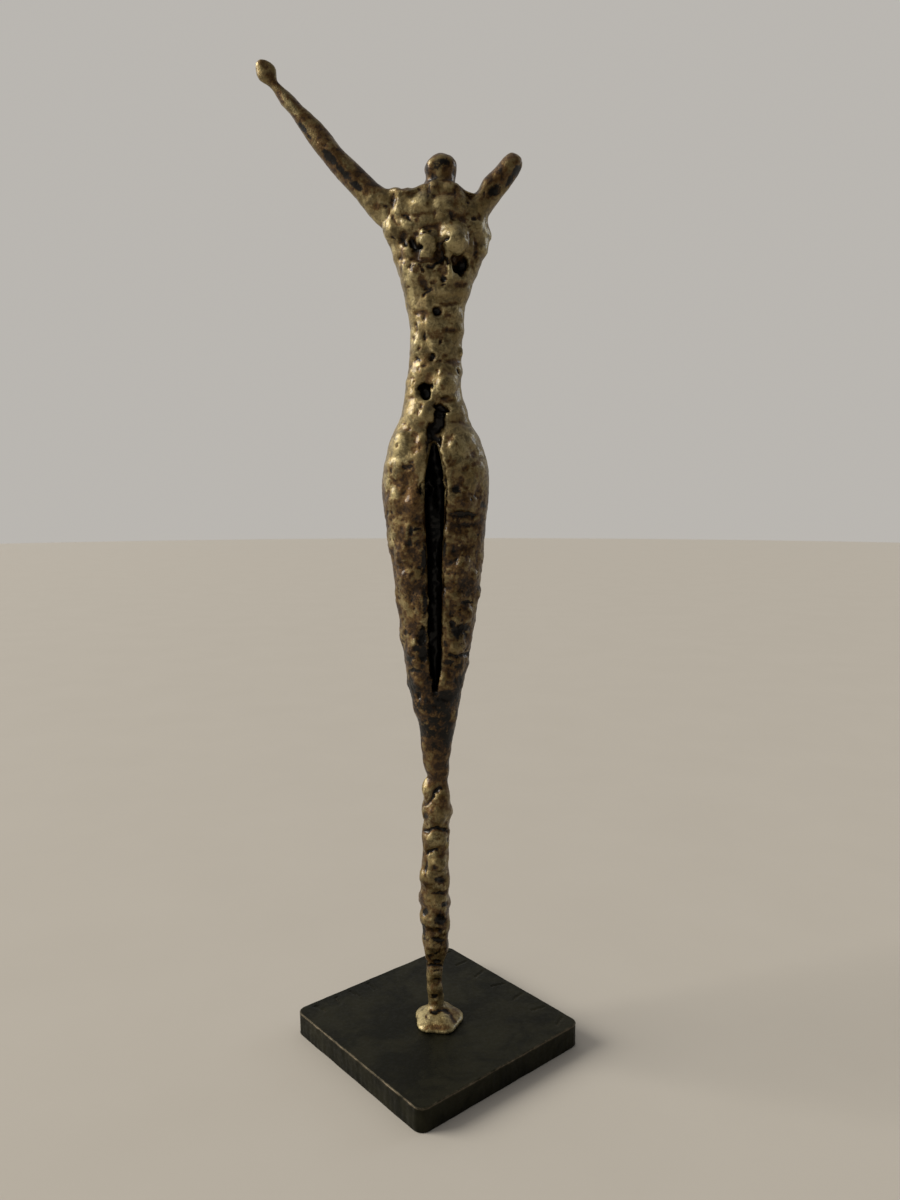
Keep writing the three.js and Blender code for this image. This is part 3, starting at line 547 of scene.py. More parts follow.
# Grooves: points along the groove, half width, depth, how black and how brown.
GROOVES = [
    ([(445, 239), (441, 242.5), (439, 247), (440.5, 253), (441, 258)], 0.37, 0.8, 0.65, 1),
    ([(440, 258), (443, 256.3), (446.5, 258), (449, 262)], 0.4, 1.2, 1, 1),
    ([(412, 259), (420, 258.6), (430, 260.5), (438, 259)], 0.55, 0.5, 0.15, 0.9),
    ([(429, 266), (433, 266.3), (437, 263.4), (440.5, 259.5)], 0.37, 0.9, 0.95, 1),
    ([(411, 271.5), (410.5, 267), (414, 264.3)], 0.34, 0.7, 0.85, 1),
    ([(420.3, 264), (423, 267.5), (424.5, 271)], 0.34, 0.7, 0.85, 1),
    ([(423.5, 296), (426, 293.2), (429.5, 290.8)], 0.34, 0.6, 0.85, 1),
    ([(447.5, 463), (450, 460.4), (453.5, 460.2), (456, 462)], 0.28, 0.3, 0.6, 0.9),
    ([(450, 655.5), (458, 656.6), (466, 655), (470, 652)], 0.45, 1.0, 0.8, 1),
    ([(442, 789), (439.5, 786.5), (437, 788), (434.5, 792), (432.6, 797)], 0.42, 1.1, 1, 1),
    ([(432.6, 797), (430.5, 800), (427, 803.4), (422.6, 805)], 0.39, 0.8, 0.7, 1),
    ([(424, 831), (428, 832), (432, 829.5), (437, 828), (440, 830), (446, 831)], 0.52, 1.2, 1, 1),
    ([(427, 855), (428.5, 853), (431, 852.5), (434, 850), (437, 849.5)], 0.46, 1.0, 1, 1),
    ([(422, 965.5), (430, 964.6), (438, 965), (443, 966)], 0.33, 0.6, 0.9, 1),
    ([(431, 1011), (435, 1012.5), (438, 1011), (446, 1010), (449, 1012.5)], 0.44, 0.6, 1, 1),
    ([(450, 1012), (452, 1018), (455, 1022)], 0.3, 0.3, 0.6, 0.9),
]

# Where the form is pressed into shape: the middle x and z, the reach, and the shift up, in millimetres.
PRESSED = [
    (-8.5, 283, 5.5, -1.6),
    (12.0, 283, 4.5, -1.9),
]

# The slot between the legs, as in the solid: its middle, and its half width down its height.
SLOT_X = 0.1
SLOT_Z = [122.5, 128, 137, 152, 167, 179, 191, 200, 204]
SLOT_HALF = [0.4, 1.4, 2.1, 2.4, 2.5, 3.1, 3.2, 1.8, 0.5]
# How far scattered drops keep away from the slot.
SLOT_MARGIN = 2.2

# How the surface changes up the figure: at each height, how much black scale, brown and amber rust,
# bright brass, spongy roughness and folds it has.
ZONES = [
    (9, 0.15, 0.2, 0.7, 0.1, 0.3),
    (20, 0.4, 0.55, 0.3, 0.3, 0.4),
    (34, 0.7, 0.7, 0.2, 0.4, 0.5),
    (48, 0.65, 0.7, 0.25, 0.4, 0.5),
    (54, 0.35, 0.6, 0.3, 0.1, 0.3),
    (88, 0.3, 0.5, 0.35, 0.1, 0.3),
    (94, 0.45, 0.8, 0.2, 0.1, 0.3),
    (101, 0.55, 0.85, 0.1, 0.2, 0.3),
    (106, 0.85, 0.9, 0.0, 0.4, 0.3),
    (120, 0.85, 0.9, 0.0, 0.5, 0.4),
    (134, 0.7, 0.85, 0.05, 0.7, 0.5),
    (150, 0.45, 0.7, 0.25, 0.8, 0.5),
    (176, 0.45, 0.75, 0.25, 0.8, 0.5),
    (186, 0.35, 0.7, 0.25, 0.6, 0.4),
    (196, 0.15, 0.45, 0.45, 0.3, 0.3),
    (206, 0.1, 0.3, 0.5, 0.15, 0.3),
    (216, 0.1, 0.35, 0.5, 0.1, 0.3),
    (236, 0.05, 0.35, 0.55, 0.05, 0.3),
    (254, 0.15, 0.35, 0.6, 0.15, 0.5),
    (272, 0.15, 0.3, 0.6, 0.15, 0.5),
    (279, 0.25, 0.4, 0.45, 0.1, 0.4),
    (284, 0.55, 0.75, 0.1, 0.1, 0.2),
    (322, 0.45, 0.6, 0.2, 0.05, 0.1),
]


def hashed(cells, salt):
    """A number from -1 to 1 for each row of whole numbers, always the same for the same row."""
    whole = (cells + 100000).astype(np.uint64)
    mixed = whole[:, 0] * np.uint64(73856093)
    mixed ^= whole[:, 1] * np.uint64(19349663)
    mixed ^= whole[:, 2] * np.uint64(83492791)
    mixed ^= np.uint64(salt * 2654435761 % 2**32)
    for shift in (13, 16, 11):
        mixed = (mixed ^ (mixed >> np.uint64(shift))) * np.uint64(1274126177)
        mixed &= np.uint64(0xFFFFFFFF)
    return mixed.astype(np.float64) / 0xFFFFFFFF * 2 - 1


def noise(points, size, salt, octaves=1):
    """Smooth noise of about -1 to 1 at points, with lumps of about size."""
    total = np.zeros(len(points))
    share = 1.0
    whole_share = 0.0
    for octave in range(octaves):
        place = points / size * 2**octave + 17.3 * octave
        corner = np.floor(place).astype(np.int64)
        inside = place - corner
        eased = inside**3 * (inside * (inside * 6 - 15) + 10)
        layer = np.zeros(len(points))
        for step in np.ndindex(2, 2, 2):
            away = inside - step
            slope = [hashed(corner + step, salt * 31 + octave * 7 + axis) for axis in range(3)]
            weight = np.prod(np.where(step, eased, 1 - eased), axis=1)
            layer += weight * sum(slope[axis] * away[:, axis] for axis in range(3))
        total += share * layer * 1.6
        whole_share += share
        share *= 0.5
    return total / whole_share


def cell_distance(points, size, salt):
    """The distance from each point to the nearest of scattered seeds, as a share of size."""
    place = points / size
    corner = np.floor(place).astype(np.int64)
    nearest = np.full(len(points), 9.0)
    for step in np.ndindex(3, 3, 3):
        cell = corner + np.array(step) - 1
        seed = np.stack([hashed(cell, salt + axis) for axis in range(3)], axis=1)
        away = cell + 0.5 + 0.45 * seed - place
        nearest = np.minimum(nearest, np.sqrt((away**2).sum(axis=1)))
    return nearest


def ease(low, high, value):
    """0 below low, 1 above high and smooth between them. It falls instead where high is below low."""
    share = np.clip((value - low) / (high - low), 0, 1)
    return share * share * (3 - 2 * share)


def mesh_of(name, points, faces):
    """A Blender mesh from points and a list or array of faces."""
    mesh = bpy.data.meshes.new(name)
    mesh.from_pydata(points.tolist(), [], [list(face) for face in faces])
    return mesh


def places(mesh):
    """A mesh's points as an array."""
    flat = np.empty(len(mesh.vertices) * 3, np.float32)
    mesh.vertices.foreach_get("co", flat)
    return flat.reshape(-1, 3).astype(np.float64)


def move(mesh, points):
    """Puts a mesh's points at these places."""
    mesh.vertices.foreach_set("co", points.astype(np.float32).ravel())
    mesh.update()


def outward(mesh):
    """A mesh's normals at its points."""
    flat = np.empty(len(mesh.vertices) * 3, np.float32)
    mesh.vertex_normals.foreach_get("vector", flat)
    return flat.reshape(-1, 3).astype(np.float64)


def neighbours(mesh):
    """Both ends of each edge, and how many edges meet at each point."""
    flat = np.empty(len(mesh.edges) * 2, np.int32)
    mesh.edges.foreach_get("vertices", flat)
    first, second = flat.reshape(-1, 2).T
    count = np.bincount(flat, minlength=len(mesh.vertices))
    return first, second, np.maximum(count, 1)


def averaged(values, links):
    """Each point's mean of its neighbours' values."""
    first, second, count = links
    columns = values.reshape(len(values), -1).T
    sums = [
        np.bincount(first, column[second], len(values)) + np.bincount(second, column[first], len(values))
        for column in columns
    ]
    return (np.stack(sums, axis=1) / count[:, None]).reshape(values.shape)


def smoothed(values, links, rounds, back=0.0):
    """Values drawn towards their neighbours, and by back drawn out again so that a form doesn't shrink."""
    for _ in range(rounds):
        values = values + 0.5 * (averaged(values, links) - values)
        if back:
            values = values - back * (averaged(values, links) - values)
    return values


def remeshed(mesh, voxel):
    """A new mesh round the same form, with even points about voxel apart."""
    carrier = bpy.data.objects.new("carrier", mesh)
    bpy.context.collection.objects.link(carrier)
    remesh = carrier.modifiers.new("remesh", "REMESH")
    remesh.mode = "VOXEL"
    remesh.voxel_size = voxel
    graph = bpy.context.evaluated_depsgraph_get()
    made = bpy.data.meshes.new_from_object(carrier.evaluated_get(graph))
    bpy.data.objects.remove(carrier)
    return made


def icosphere():
    """A ball of radius 1 as points and faces."""
    ball = bmesh.new()
    bmesh.ops.create_icosphere(ball, subdivisions=3, radius=1)
    points = np.array([vertex.co[:] for vertex in ball.verts])
    faces = np.array([[vertex.index for vertex in face.verts] for face in ball.faces])
    ball.free()
    return points, faces


def limb_of(points):
    """Which limb each point is on: 0 the body, 1 the long arm, 2 the short arm, 3 the head."""
    x, z = points[:, 0], points[:, 2]
    limb = np.zeros(len(points), int)
    limb[(x < -15.5) & (z > 274)] = 1
    limb[(x > 14.5) & (z > 276)] = 2
    limb[(np.abs(x - 2) < 8) & (z > 281)] = 3
    return limb


def drop(centre, normal, wide, tall, rise, lean):
    """A drop of brass lying on a surface, as the ball template pressed into shape."""
    normal = normal / np.linalg.norm(normal)
    side = np.cross(normal, (0, 0, 1.0))
    side /= max(np.linalg.norm(side), 1e-6)
    up = np.cross(side, normal)
    along = np.cos(lean) * side + np.sin(lean) * up
    across = np.cos(lean) * up - np.sin(lean) * side
    deep = max(0.55 * min(wide, tall), 2 * rise)
    middle = centre + normal * (rise - deep)
    return middle + BALL[0] @ np.array([wide * along, tall * across, deep * normal])


def scattered(points, normals, limbs, part):
    """Drops scattered over one part of the figure, none closer to another than the part's gap."""
    inside = (points[:, 2] > part["low"]) & (points[:, 2] < part["high"]) & (limbs == part["limb"])
    half = np.interp(points[:, 2], SLOT_Z, SLOT_HALF, left=-9, right=-9)
    inside &= np.abs(points[:, 0] - SLOT_X) > half + SLOT_MARGIN
    if "row" in part:
        off = (points[:, 2] - part["from"]) / part["row"]
        inside &= np.abs(off - np.round(off)) < 0.12
    taken = []
    for index in random.permutation(np.flatnonzero(inside)):
        here = points[index]
        gap = part["gap"] * random.uniform(0.75, 1.25)
        if taken and (np.sum((np.array(taken) - here) ** 2, axis=1) < gap * gap).any():
            continue
        taken.append(here)
        wide, tall, rise = (random.uniform(*part[key]) for key in ("wide", "tall", "rise"))
        rise *= 1 - FLANK_EASE * abs(normals[index, 0])
        yield drop(here, normals[index], wide, tall, rise, random.uniform(-0.7, 0.7))


def seen(points):
    """Where the camera sees each point, in pixels of the photograph's frame, and how far away it is."""
    away = points - np.array(CAMERA["at"]) / MM
    right, up, ahead = (away @ np.array(CAMERA[axis]) for axis in ("right", "up", "ahead"))
    pixels = np.stack([right, -up], axis=1) * FRAME["focal"] / ahead[:, None]
    return pixels + (FRAME["x"], FRAME["y"]), ahead


def ray_to(x, y):
    """The direction from the camera to a pixel of the photograph's frame."""
    right, up, ahead = (np.array(CAMERA[axis]) for axis in ("right", "up", "ahead"))
    away = ahead + ((x - FRAME["x"]) * right - (y - FRAME["y"]) * up) / FRAME["focal"]
    return away / np.linalg.norm(away)


def front_share(points, normals):
    """1 where the camera sees a point's face and 0 where it doesn't."""
    away = points - np.array(CAMERA["at"]) / MM
    facing = -np.sum(away * normals, axis=1) / np.linalg.norm(away, axis=1)
    open_to_view = (points[:, 2] < 13) | (limb_of(points) > 0)
    return ease(0.02, 0.3, facing) * np.where(open_to_view, 1, ease(6, 3, points[:, 1]))


def groove_distance(pixels, line):
    """How far each pixel place lies from a line of points, in pixels."""
    nearest = np.full(len(pixels), 99.0)
    for start, end in zip(line[:-1], line[1:]):
        start, end = np.array(start), np.array(end)
        run = end - start
        share = np.clip((pixels - start) @ run / (run @ run), 0, 1)
        nearest = np.minimum(nearest, np.linalg.norm(pixels - start - share[:, None] * run, axis=1))
    return nearest


def close_to(pixels, low, high, reach):
    """The points that lie near a box of the photograph's frame."""
    return np.flatnonzero(((pixels > np.array(low) - reach) & (pixels < np.array(high) + reach)).all(axis=1))


def around(pixels, millimetres, x, y, wide, tall, lean):
    """The points near an oval, and how far each lies from its middle as a share of its radius there."""
    reach = 2 * MOST_PIXELS_PER_MM * max(wide, tall)
    near = close_to(pixels, (x, y), (x, y), reach)
    turn = np.radians(lean)
    dx, dy = ((pixels[near] - (x, y)) * millimetres[near]).T * ((1,), (-1,))
    along = dx * np.cos(turn) + dy * np.sin(turn)
    across = dy * np.cos(turn) - dx * np.sin(turn)
    return near, np.hypot(along / wide, across / tall)


def zone(points, column):
    """The share that ZONES gives at each point's height."""
    return np.interp(points[:, 2], [row[0] for row in ZONES], [row[column] for row in ZONES])


def in_slot(points):
    """1 inside the slot between the legs and 0 outside it."""
    half = np.interp(points[:, 2], SLOT_Z, SLOT_HALF, left=-1, right=-1)
    beside = np.abs(points[:, 0] - SLOT_X)
    return ease(half + 0.9, half + 0.3, beside) * ease(-8.5, -5.5, points[:, 1]) * ease(4.5, 3.5, points[:, 1])


def bare_figure():
    """The solid's form without its facets, smoothed and swollen a little."""
    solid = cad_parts["figure"].data
    points = places(solid) / MM
    faces = [list(polygon.vertices) for polygon in solid.polygons]
    form = remeshed(mesh_of("bare", points, faces), BARE_VOXEL)
    links = neighbours(form)
    move(form, smoothed(places(form), links, 14, back=0.51))
    move(form, places(form) + SWOLLEN * outward(form))
    return form


def with_drops(form):
    """The form with its drops, joined into one skin."""
    points, normals, limbs = places(form), outward(form), limb_of(places(form))
    faces = [list(polygon.vertices) for polygon in form.polygons]
    tree = BVHTree.FromPolygons(points.tolist(), faces)
    drops = []
    for part in DROPS:
        drops.extend(scattered(points, normals, limbs, part))
    for x, y, wide, tall, lean, rise in LUMPS:
        place, normal, _, _ = tree.ray_cast(Vector(CAMERA["at"]) / MM, Vector(ray_to(x, y)))
        if place is None:
            raise ValueError(f"the lump at {x}, {y} misses the figure")
        drops.append(drop(np.array(place), np.array(normal), wide, tall, rise, -np.radians(lean)))
    ball_faces = [BALL[1] + len(points) + len(BALL[0]) * number for number in range(len(drops))]
    everything = mesh_of("drops", np.concatenate([points, *drops]), faces + np.concatenate(ball_faces).tolist())
    whole = remeshed(everything, FINE_VOXEL)
    links = neighbours(whole)
    move(whole, smoothed(places(whole), links, 3, back=0.5))
    points = places(whole)
    for x, z, reach, shift in PRESSED:
        near = np.hypot(points[:, 0] - x, points[:, 2] - z) / reach
        points[:, 2] += shift * ease(1, 0.2, near)
    move(whole, points)
    return whole


def shifted(points, size, reach, salt):
    """The points, each moved a little by smooth noise, so that what is drawn by them turns out ragged."""
    return points + reach * np.stack([noise(points, size, salt + axis) for axis in range(3)], axis=1)


def relief(points, normals):
    """How far each point of the skin rises along its normal, and how black, brown and light it is. The light share
    holds paler brass and painted highlights; the black and brown shares hold some painted shade.
    """
    front = front_share(points, normals)
    spongy = np.clip(zone(points, 4) + 0.35 * noise(points, 7, 3), 0, 1)
    ragged = shifted(shifted(points, 5, 0.5, 91), 1.5, 0.35, 94)
    rise = 0.12 * noise(points, 4.5, 5, 2) + 0.07 * noise(points, 1.5, 6, 2)
    fold = np.abs(noise(shifted(points, 6, 2.0, 97), 5.2, 7))
    rise -= 0.3 * zone(points, 5) * ease(0.12, 0.0, fold)
    rise += spongy * (0.3 * noise(ragged, 1.5, 8, 2) - 0.3 * ease(0.45, 0.12, cell_distance(ragged, 1.8, 40)))
    pixels, ahead = seen(ragged)
    millimetres = (ahead / FRAME["focal"])[:, None]
    torn = 0.3 * noise(points, 1.2, 98, 3)
    sunk, black, brown, pale_and_glint = np.zeros((4, len(points)))
    # Dark marks: stains, scale and pits, with painted shade in the deep pits and under a few overhangs.
    for x, y, wide, tall, lean, depth, blackness, brownness in MARKS:
        near, share = around(pixels, millimetres, x, y, wide, tall, lean)
        share += torn[near]
        soft = front[near] * ease(1.5, 0.3, share)
        inner = front[near] * ease(1.25, 0.45, share) if depth else soft
        sunk[near] = np.maximum(sunk[near], depth * inner)
        black[near] = np.maximum(black[near], blackness * inner)
        brown[near] = np.maximum(brown[near], brownness * soft)
    # Paler patches, among them painted highlights and glints.
    for x, y, wide, tall, lean, paleness_and_glint in PALE_AND_GLINTS:
        near, share = around(pixels, millimetres, x, y, wide, tall, lean)
        pale_and_glint[near] = np.maximum(pale_and_glint[near], front[near] * paleness_and_glint * ease(1.5, 0.3, share + torn[near]))
    for line, wide, depth, blackness, brownness in GROOVES:
        low, high = np.min(line, axis=0), np.max(line, axis=0)
        near = close_to(pixels, low, high, 3 * MOST_PIXELS_PER_MM * wide)
        share = groove_distance(pixels[near], line) * millimetres[near, 0] / wide + torn[near]
        sunk[near] = np.maximum(sunk[near], front[near] * depth * ease(1.5, 0.1, share))
        black[near] = np.maximum(black[near], front[near] * blackness * ease(1.3, 0.4, share))
        brown[near] = np.maximum(brown[near], front[near] * brownness * ease(2.5, 0.7, share))
    return rise - sunk, black, brown, pale_and_glint


def pores(points, normals):
    """Small round pits scattered over the sides and the back, as a depth."""
    allowed = (points[:, 2] > 12) & (zone(points, 3) > 0.3) & (in_slot(points) < 0.1)
    allowed &= (front_share(points, normals) < 0.6) & (limb_of(points) == 0)
    sunk = np.zeros(len(points))
    taken = []
    for index in random.permutation(np.flatnonzero(allowed))[:6000]:
        here = points[index]
        if taken and (np.sum((np.array(taken) - here) ** 2, axis=1) < 14).any():
            continue
        taken.append(here)
        wide = 0.28 + 0.75 * random.random() ** 3
        share = np.linalg.norm(points - here, axis=1) / wide
        sunk = np.maximum(sunk, min(0.9 * wide, 0.7) * ease(1.1, 0.4, share))
    return sunk


def attribute(mesh, name, values):
    """Keeps a number from 0 to 1 at each point for the material."""
    layer = mesh.attributes.new(name, "FLOAT", "POINT")
    layer.data.foreach_set("value", np.clip(values, 0, 1).astype(np.float32))


def figure_skin():
    """The figure's detailed skin, with the shares that its material reads."""
    skin = with_drops(bare_figure())
    points, normals, links = places(skin), outward(skin), neighbours(skin)
    rise, black, brown, pale_and_glint = relief(points, normals)
    move(skin, points + (rise - pores(points, normals))[:, None] * normals)
    move(skin, smoothed(places(skin), links, 1))

    points, normals = places(skin), outward(skin)
    # Hollows and crests, from how far each point lies below or above its smoothed neighbours. The hollows are made
    # blacker and browner and the crests paler: partly scale, tarnish and rubbing, partly painted shade in the
    # hollows.
    near = np.sum((smoothed(points, links, 5) - points) * normals, axis=1)
    far = np.sum((smoothed(points, links, 40) - points) * normals, axis=1)
    crevice = np.maximum(ease(0.02, 0.12, near), ease(0.04, 0.45, far))
    crest = np.maximum(ease(0.03, 0.13, -near), 0.8 * ease(0.15, 0.6, -far))
    blotch = noise(points, 6, 51, 3)
    flecks = noise(points, 1.8, 52, 2)
    spongy = np.clip(zone(points, 4) + 0.3 * blotch, 0, 1)
    scale = zone(points, 1) + 0.5 * blotch + 0.4 * flecks + (0.15 + 0.4 * spongy) * crevice - 0.35 * crest
    # The slot between the legs is painted black all through, as painted shade in its deep groove.
    black_share = np.maximum.reduce([ease(0.5, 1.1, scale) * (1 - pale_and_glint), black, in_slot(points)])
    rust_and_shade = zone(points, 2) + 0.6 * noise(points, 5, 61, 3) + 0.4 * flecks + 0.6 * crevice - 0.3 * crest - 0.8 * pale_and_glint
    # The paler patches raise the brightness, so it paints highlights as well as paler brass.
    bright = zone(points, 3) + 0.4 * noise(points, 8, 71, 2) + 0.35 * crest - 0.5 * crevice - 0.4 * brown + 0.6 * pale_and_glint
    attribute(skin, "black", black_share)
    attribute(skin, "rust_and_shade", np.maximum(ease(0.2, 1.0, rust_and_shade), 0.9 * brown))
    attribute(skin, "bright", bright)
    attribute(skin, "spongy", spongy)
    move(skin, places(skin) * MM)
    skin.polygons.foreach_set("use_smooth", [True] * len(skin.polygons))
    return skin


def piece_of(name, mesh, node, material):
    """A new object that stands for a CAD node and moves with the one body."""
    piece = bpy.data.objects.new(name, mesh)
    bpy.context.collection.objects.link(piece)
    mesh.materials.clear()
    mesh.materials.append(material)
    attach(piece, "root")
    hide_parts(node)
    return piece


class Graph:
    """A material's nodes, added one by one."""

    def __init__(self, name):
        self.material = bpy.data.materials.new(name)
        self.material.use_nodes = True
        self.tree = self.material.node_tree
        self.tree.nodes.clear()
        self.shader = self.tree.nodes.new("ShaderNodeBsdfPrincipled")
        output = self.tree.nodes.new("ShaderNodeOutputMaterial")
        self.tree.links.new(self.shader.outputs[0], output.inputs[0])
        self.place = self.tree.nodes.new("ShaderNodeTexCoord").outputs["Object"]

    def put(self, socket, value):
        if isinstance(value, bpy.types.NodeSocket):
            self.tree.links.new(value, socket)
        elif isinstance(value, tuple) and socket.type == "RGBA":
            socket.default_value = (*value, 1)
        else:
            socket.default_value = value

    def share(self, name):
        node = self.tree.nodes.new("ShaderNodeAttribute")
        node.attribute_name = name
        return node.outputs["Fac"]

    def math(self, operation, first, second=0.0):
        node = self.tree.nodes.new("ShaderNodeMath")
        node.operation = operation
        self.put(node.inputs[0], first)
        self.put(node.inputs[1], second)
        return node.outputs[0]

    def noise(self, size, detail=4.0, rough=0.6, warp=0.0):
        node = self.tree.nodes.new("ShaderNodeTexNoise")
        self.put(node.inputs["Vector"], self.place)
        self.put(node.inputs["Scale"], 1 / (size * MM))
        self.put(node.inputs["Detail"], detail)
        self.put(node.inputs["Roughness"], rough)
        self.put(node.inputs["Distortion"], warp)
        return node.outputs["Fac"]

    def cells(self, size):
        node = self.tree.nodes.new("ShaderNodeTexVoronoi")
        self.put(node.inputs["Vector"], self.place)
        self.put(node.inputs["Scale"], 1 / (size * MM))
        return node.outputs["Distance"]

    def between(self, value, low, high, least=0.0, most=1.0):
        node = self.tree.nodes.new("ShaderNodeMapRange")
        node.interpolation_type = "SMOOTHSTEP"
        for socket, number in zip(node.inputs[:5], (value, low, high, least, most)):
            self.put(socket, number)
        return node.outputs[0]

    def mix(self, share, first, second):
        node = self.tree.nodes.new("ShaderNodeMix")
        node.data_type = "RGBA"
        self.put(node.inputs[0], share)
        self.put(node.inputs[6], first)
        self.put(node.inputs[7], second)
        return node.outputs[2]

    def bump(self, height, distance, strength, under=None):
        node = self.tree.nodes.new("ShaderNodeBump")
        self.put(node.inputs["Height"], height)
        self.put(node.inputs["Distance"], distance * MM)
        self.put(node.inputs["Strength"], strength)
        if under:
            self.put(node.inputs["Normal"], under)
        return node.outputs[0]


# Colours of the brass. The paler colour also paints highlights, and the amber, brown and black also paint shade.
BRASS = (0.20, 0.145, 0.058)
PALE_BRASS_AND_GLINT = (0.40, 0.33, 0.165)
GRIME = (0.065, 0.047, 0.02)
AMBER = (0.10, 0.052, 0.014)
BROWN = (0.032, 0.016, 0.006)
BLACK_SCALE_AND_SHADE = (0.004, 0.0028, 0.0016)


def brass():
    """Old brazed brass: olive, and paler where rubbed and at painted highlights; amber and brown between; black in
    the hollows. The amber, brown and black also paint shade in the hollows, the deep pits, the slot and under
    overhangs.
    """
    g = Graph("brazed_brass")
    grain = g.noise(1.2, detail=5)
    fine = g.noise(0.5, detail=3)
    blotch = g.noise(4.0, detail=4, warp=0.4)
    speck = g.math("SUBTRACT", g.noise(0.7, detail=3, rough=0.7), 0.5)
    pinholes = g.between(g.cells(1.0), 0.12, 0.3)
    bright = g.math("ADD", g.share("bright"), g.math("MULTIPLY", g.math("SUBTRACT", blotch, 0.5), 0.9))
    bright = g.math("ADD", bright, g.math("MULTIPLY", speck, 0.9))
    # Paler brass, which also paints the highlights.
    colour = g.mix(g.between(bright, 0.35, 1.15), BRASS, PALE_BRASS_AND_GLINT)
    rust_and_shade = g.math("ADD", g.share("rust_and_shade"), g.math("MULTIPLY", g.math("SUBTRACT", grain, 0.5), 1.2))
    rust_and_shade = g.math("SUBTRACT", rust_and_shade, g.math("MULTIPLY", speck, 0.8))
    grime = g.between(g.noise(2.2, detail=6, rough=0.75, warp=0.6), 0.44, 0.62, 0.0, 0.75)
    colour = g.mix(grime, colour, GRIME)
    # Amber and brown: tarnish of the brass, and also painted shade in the hollows and under overhangs.
    colour = g.mix(g.between(rust_and_shade, 0.2, 0.7), colour, AMBER)
    colour = g.mix(g.between(rust_and_shade, 0.6, 1.05), colour, BROWN)
    spots = g.math("MULTIPLY", speck, g.math("ADD", g.math("MULTIPLY", g.share("spongy"), 1.2), 0.9))
    dark = g.math("SUBTRACT", g.math("ADD", g.share("black"), g.math("MULTIPLY", g.share("spongy"), 0.08)), spots)
    # Black: scale of the brass, and also painted shade in the slot, the deep pits and the hollows.
    scale = g.between(dark, 0.25, 0.75)
    colour = g.mix(scale, colour, BLACK_SCALE_AND_SHADE)
    g.put(g.shader.inputs["Base Color"], colour)
    g.put(g.shader.inputs["Metallic"], 0.72)
    g.put(g.shader.inputs["Specular IOR Level"], 0.25)
    g.put(g.shader.inputs["Coat Weight"], 0.3)
    g.put(g.shader.inputs["Coat Roughness"], 0.12)
    rough = g.math("ADD", g.between(grain, 0.3, 0.7, 0.4, 0.58), g.math("MULTIPLY", g.share("spongy"), 0.12))
    g.put(g.shader.inputs["Roughness"], rough)
    height = g.math("ADD", fine, g.math("MULTIPLY", grain, 1.5))
    under = g.bump(height, 0.18, 0.6)
    g.put(g.shader.inputs["Normal"], g.bump(pinholes, 0.12, 0.3, under=under))
    return g.material


def steel():
    """Hot-rolled steel under black scale."""
    g = Graph("blackened_steel")
    grain = g.noise(1.4, detail=5)
    cloud = g.noise(14.0, detail=4, warp=0.5)
    colour = g.mix(g.between(cloud, 0.4, 0.65), (0.006, 0.0062, 0.0026), (0.018, 0.0172, 0.0085))
    colour = g.mix(g.between(grain, 0.55, 0.8, 0, 0.5), colour, (0.035, 0.032, 0.02))
    worn = g.math("ADD", g.share("worn"), g.math("MULTIPLY", g.math("SUBTRACT", grain, 0.5), 0.6))
    colour = g.mix(g.between(worn, 0.35, 0.9), colour, (0.16, 0.13, 0.09))
    g.put(g.shader.inputs["Base Color"], colour)
    g.put(g.shader.inputs["Metallic"], 0.7)
    g.put(g.shader.inputs["Specular IOR Level"], 0.25)
    g.put(g.shader.inputs["Roughness"], g.between(grain, 0.3, 0.7, 0.42, 0.62))
    g.put(g.shader.inputs["Normal"], g.bump(grain, 0.12, 0.5))
    return g.material


# The plate: its half side, thickness, corner radius and turn about +Z, the width of its worn edges,
# and its stamped strokes, as in the solid.
PLATE = {"half": 35.0, "thick": 8.0, "corner": 3.6, "turn": 40.5, "edge": 0.7}
STROKES = {"tall": 5.6, "thick": 0.8, "deep": 0.35, "line": 30.0}
STROKES_RIGHT = {"from": -30.0, "step": 10.2, "leans": (0.4, -0.25, 0.15, -0.35, 0.25, 0, -0.2)}
STROKES_LEFT = {"from": -28.0, "step": 7.3, "leans": (0.2, -0.3, 0.1, -0.15)}


def plate_lines(half):
    """Places along a side of the plate, close together at its ends and where the strokes are."""
    coarse = np.arange(-half + 1.5, 25.5, 0.6)
    strokes = np.arange(25.5, half - 1.2, 0.3)
    end = half - np.array([1.2, 1.0, 0.8, 0.65, 0.5, 0.35, 0.22, 0.1, 0])
    return np.concatenate([-end[::-1], coarse, strokes, end])


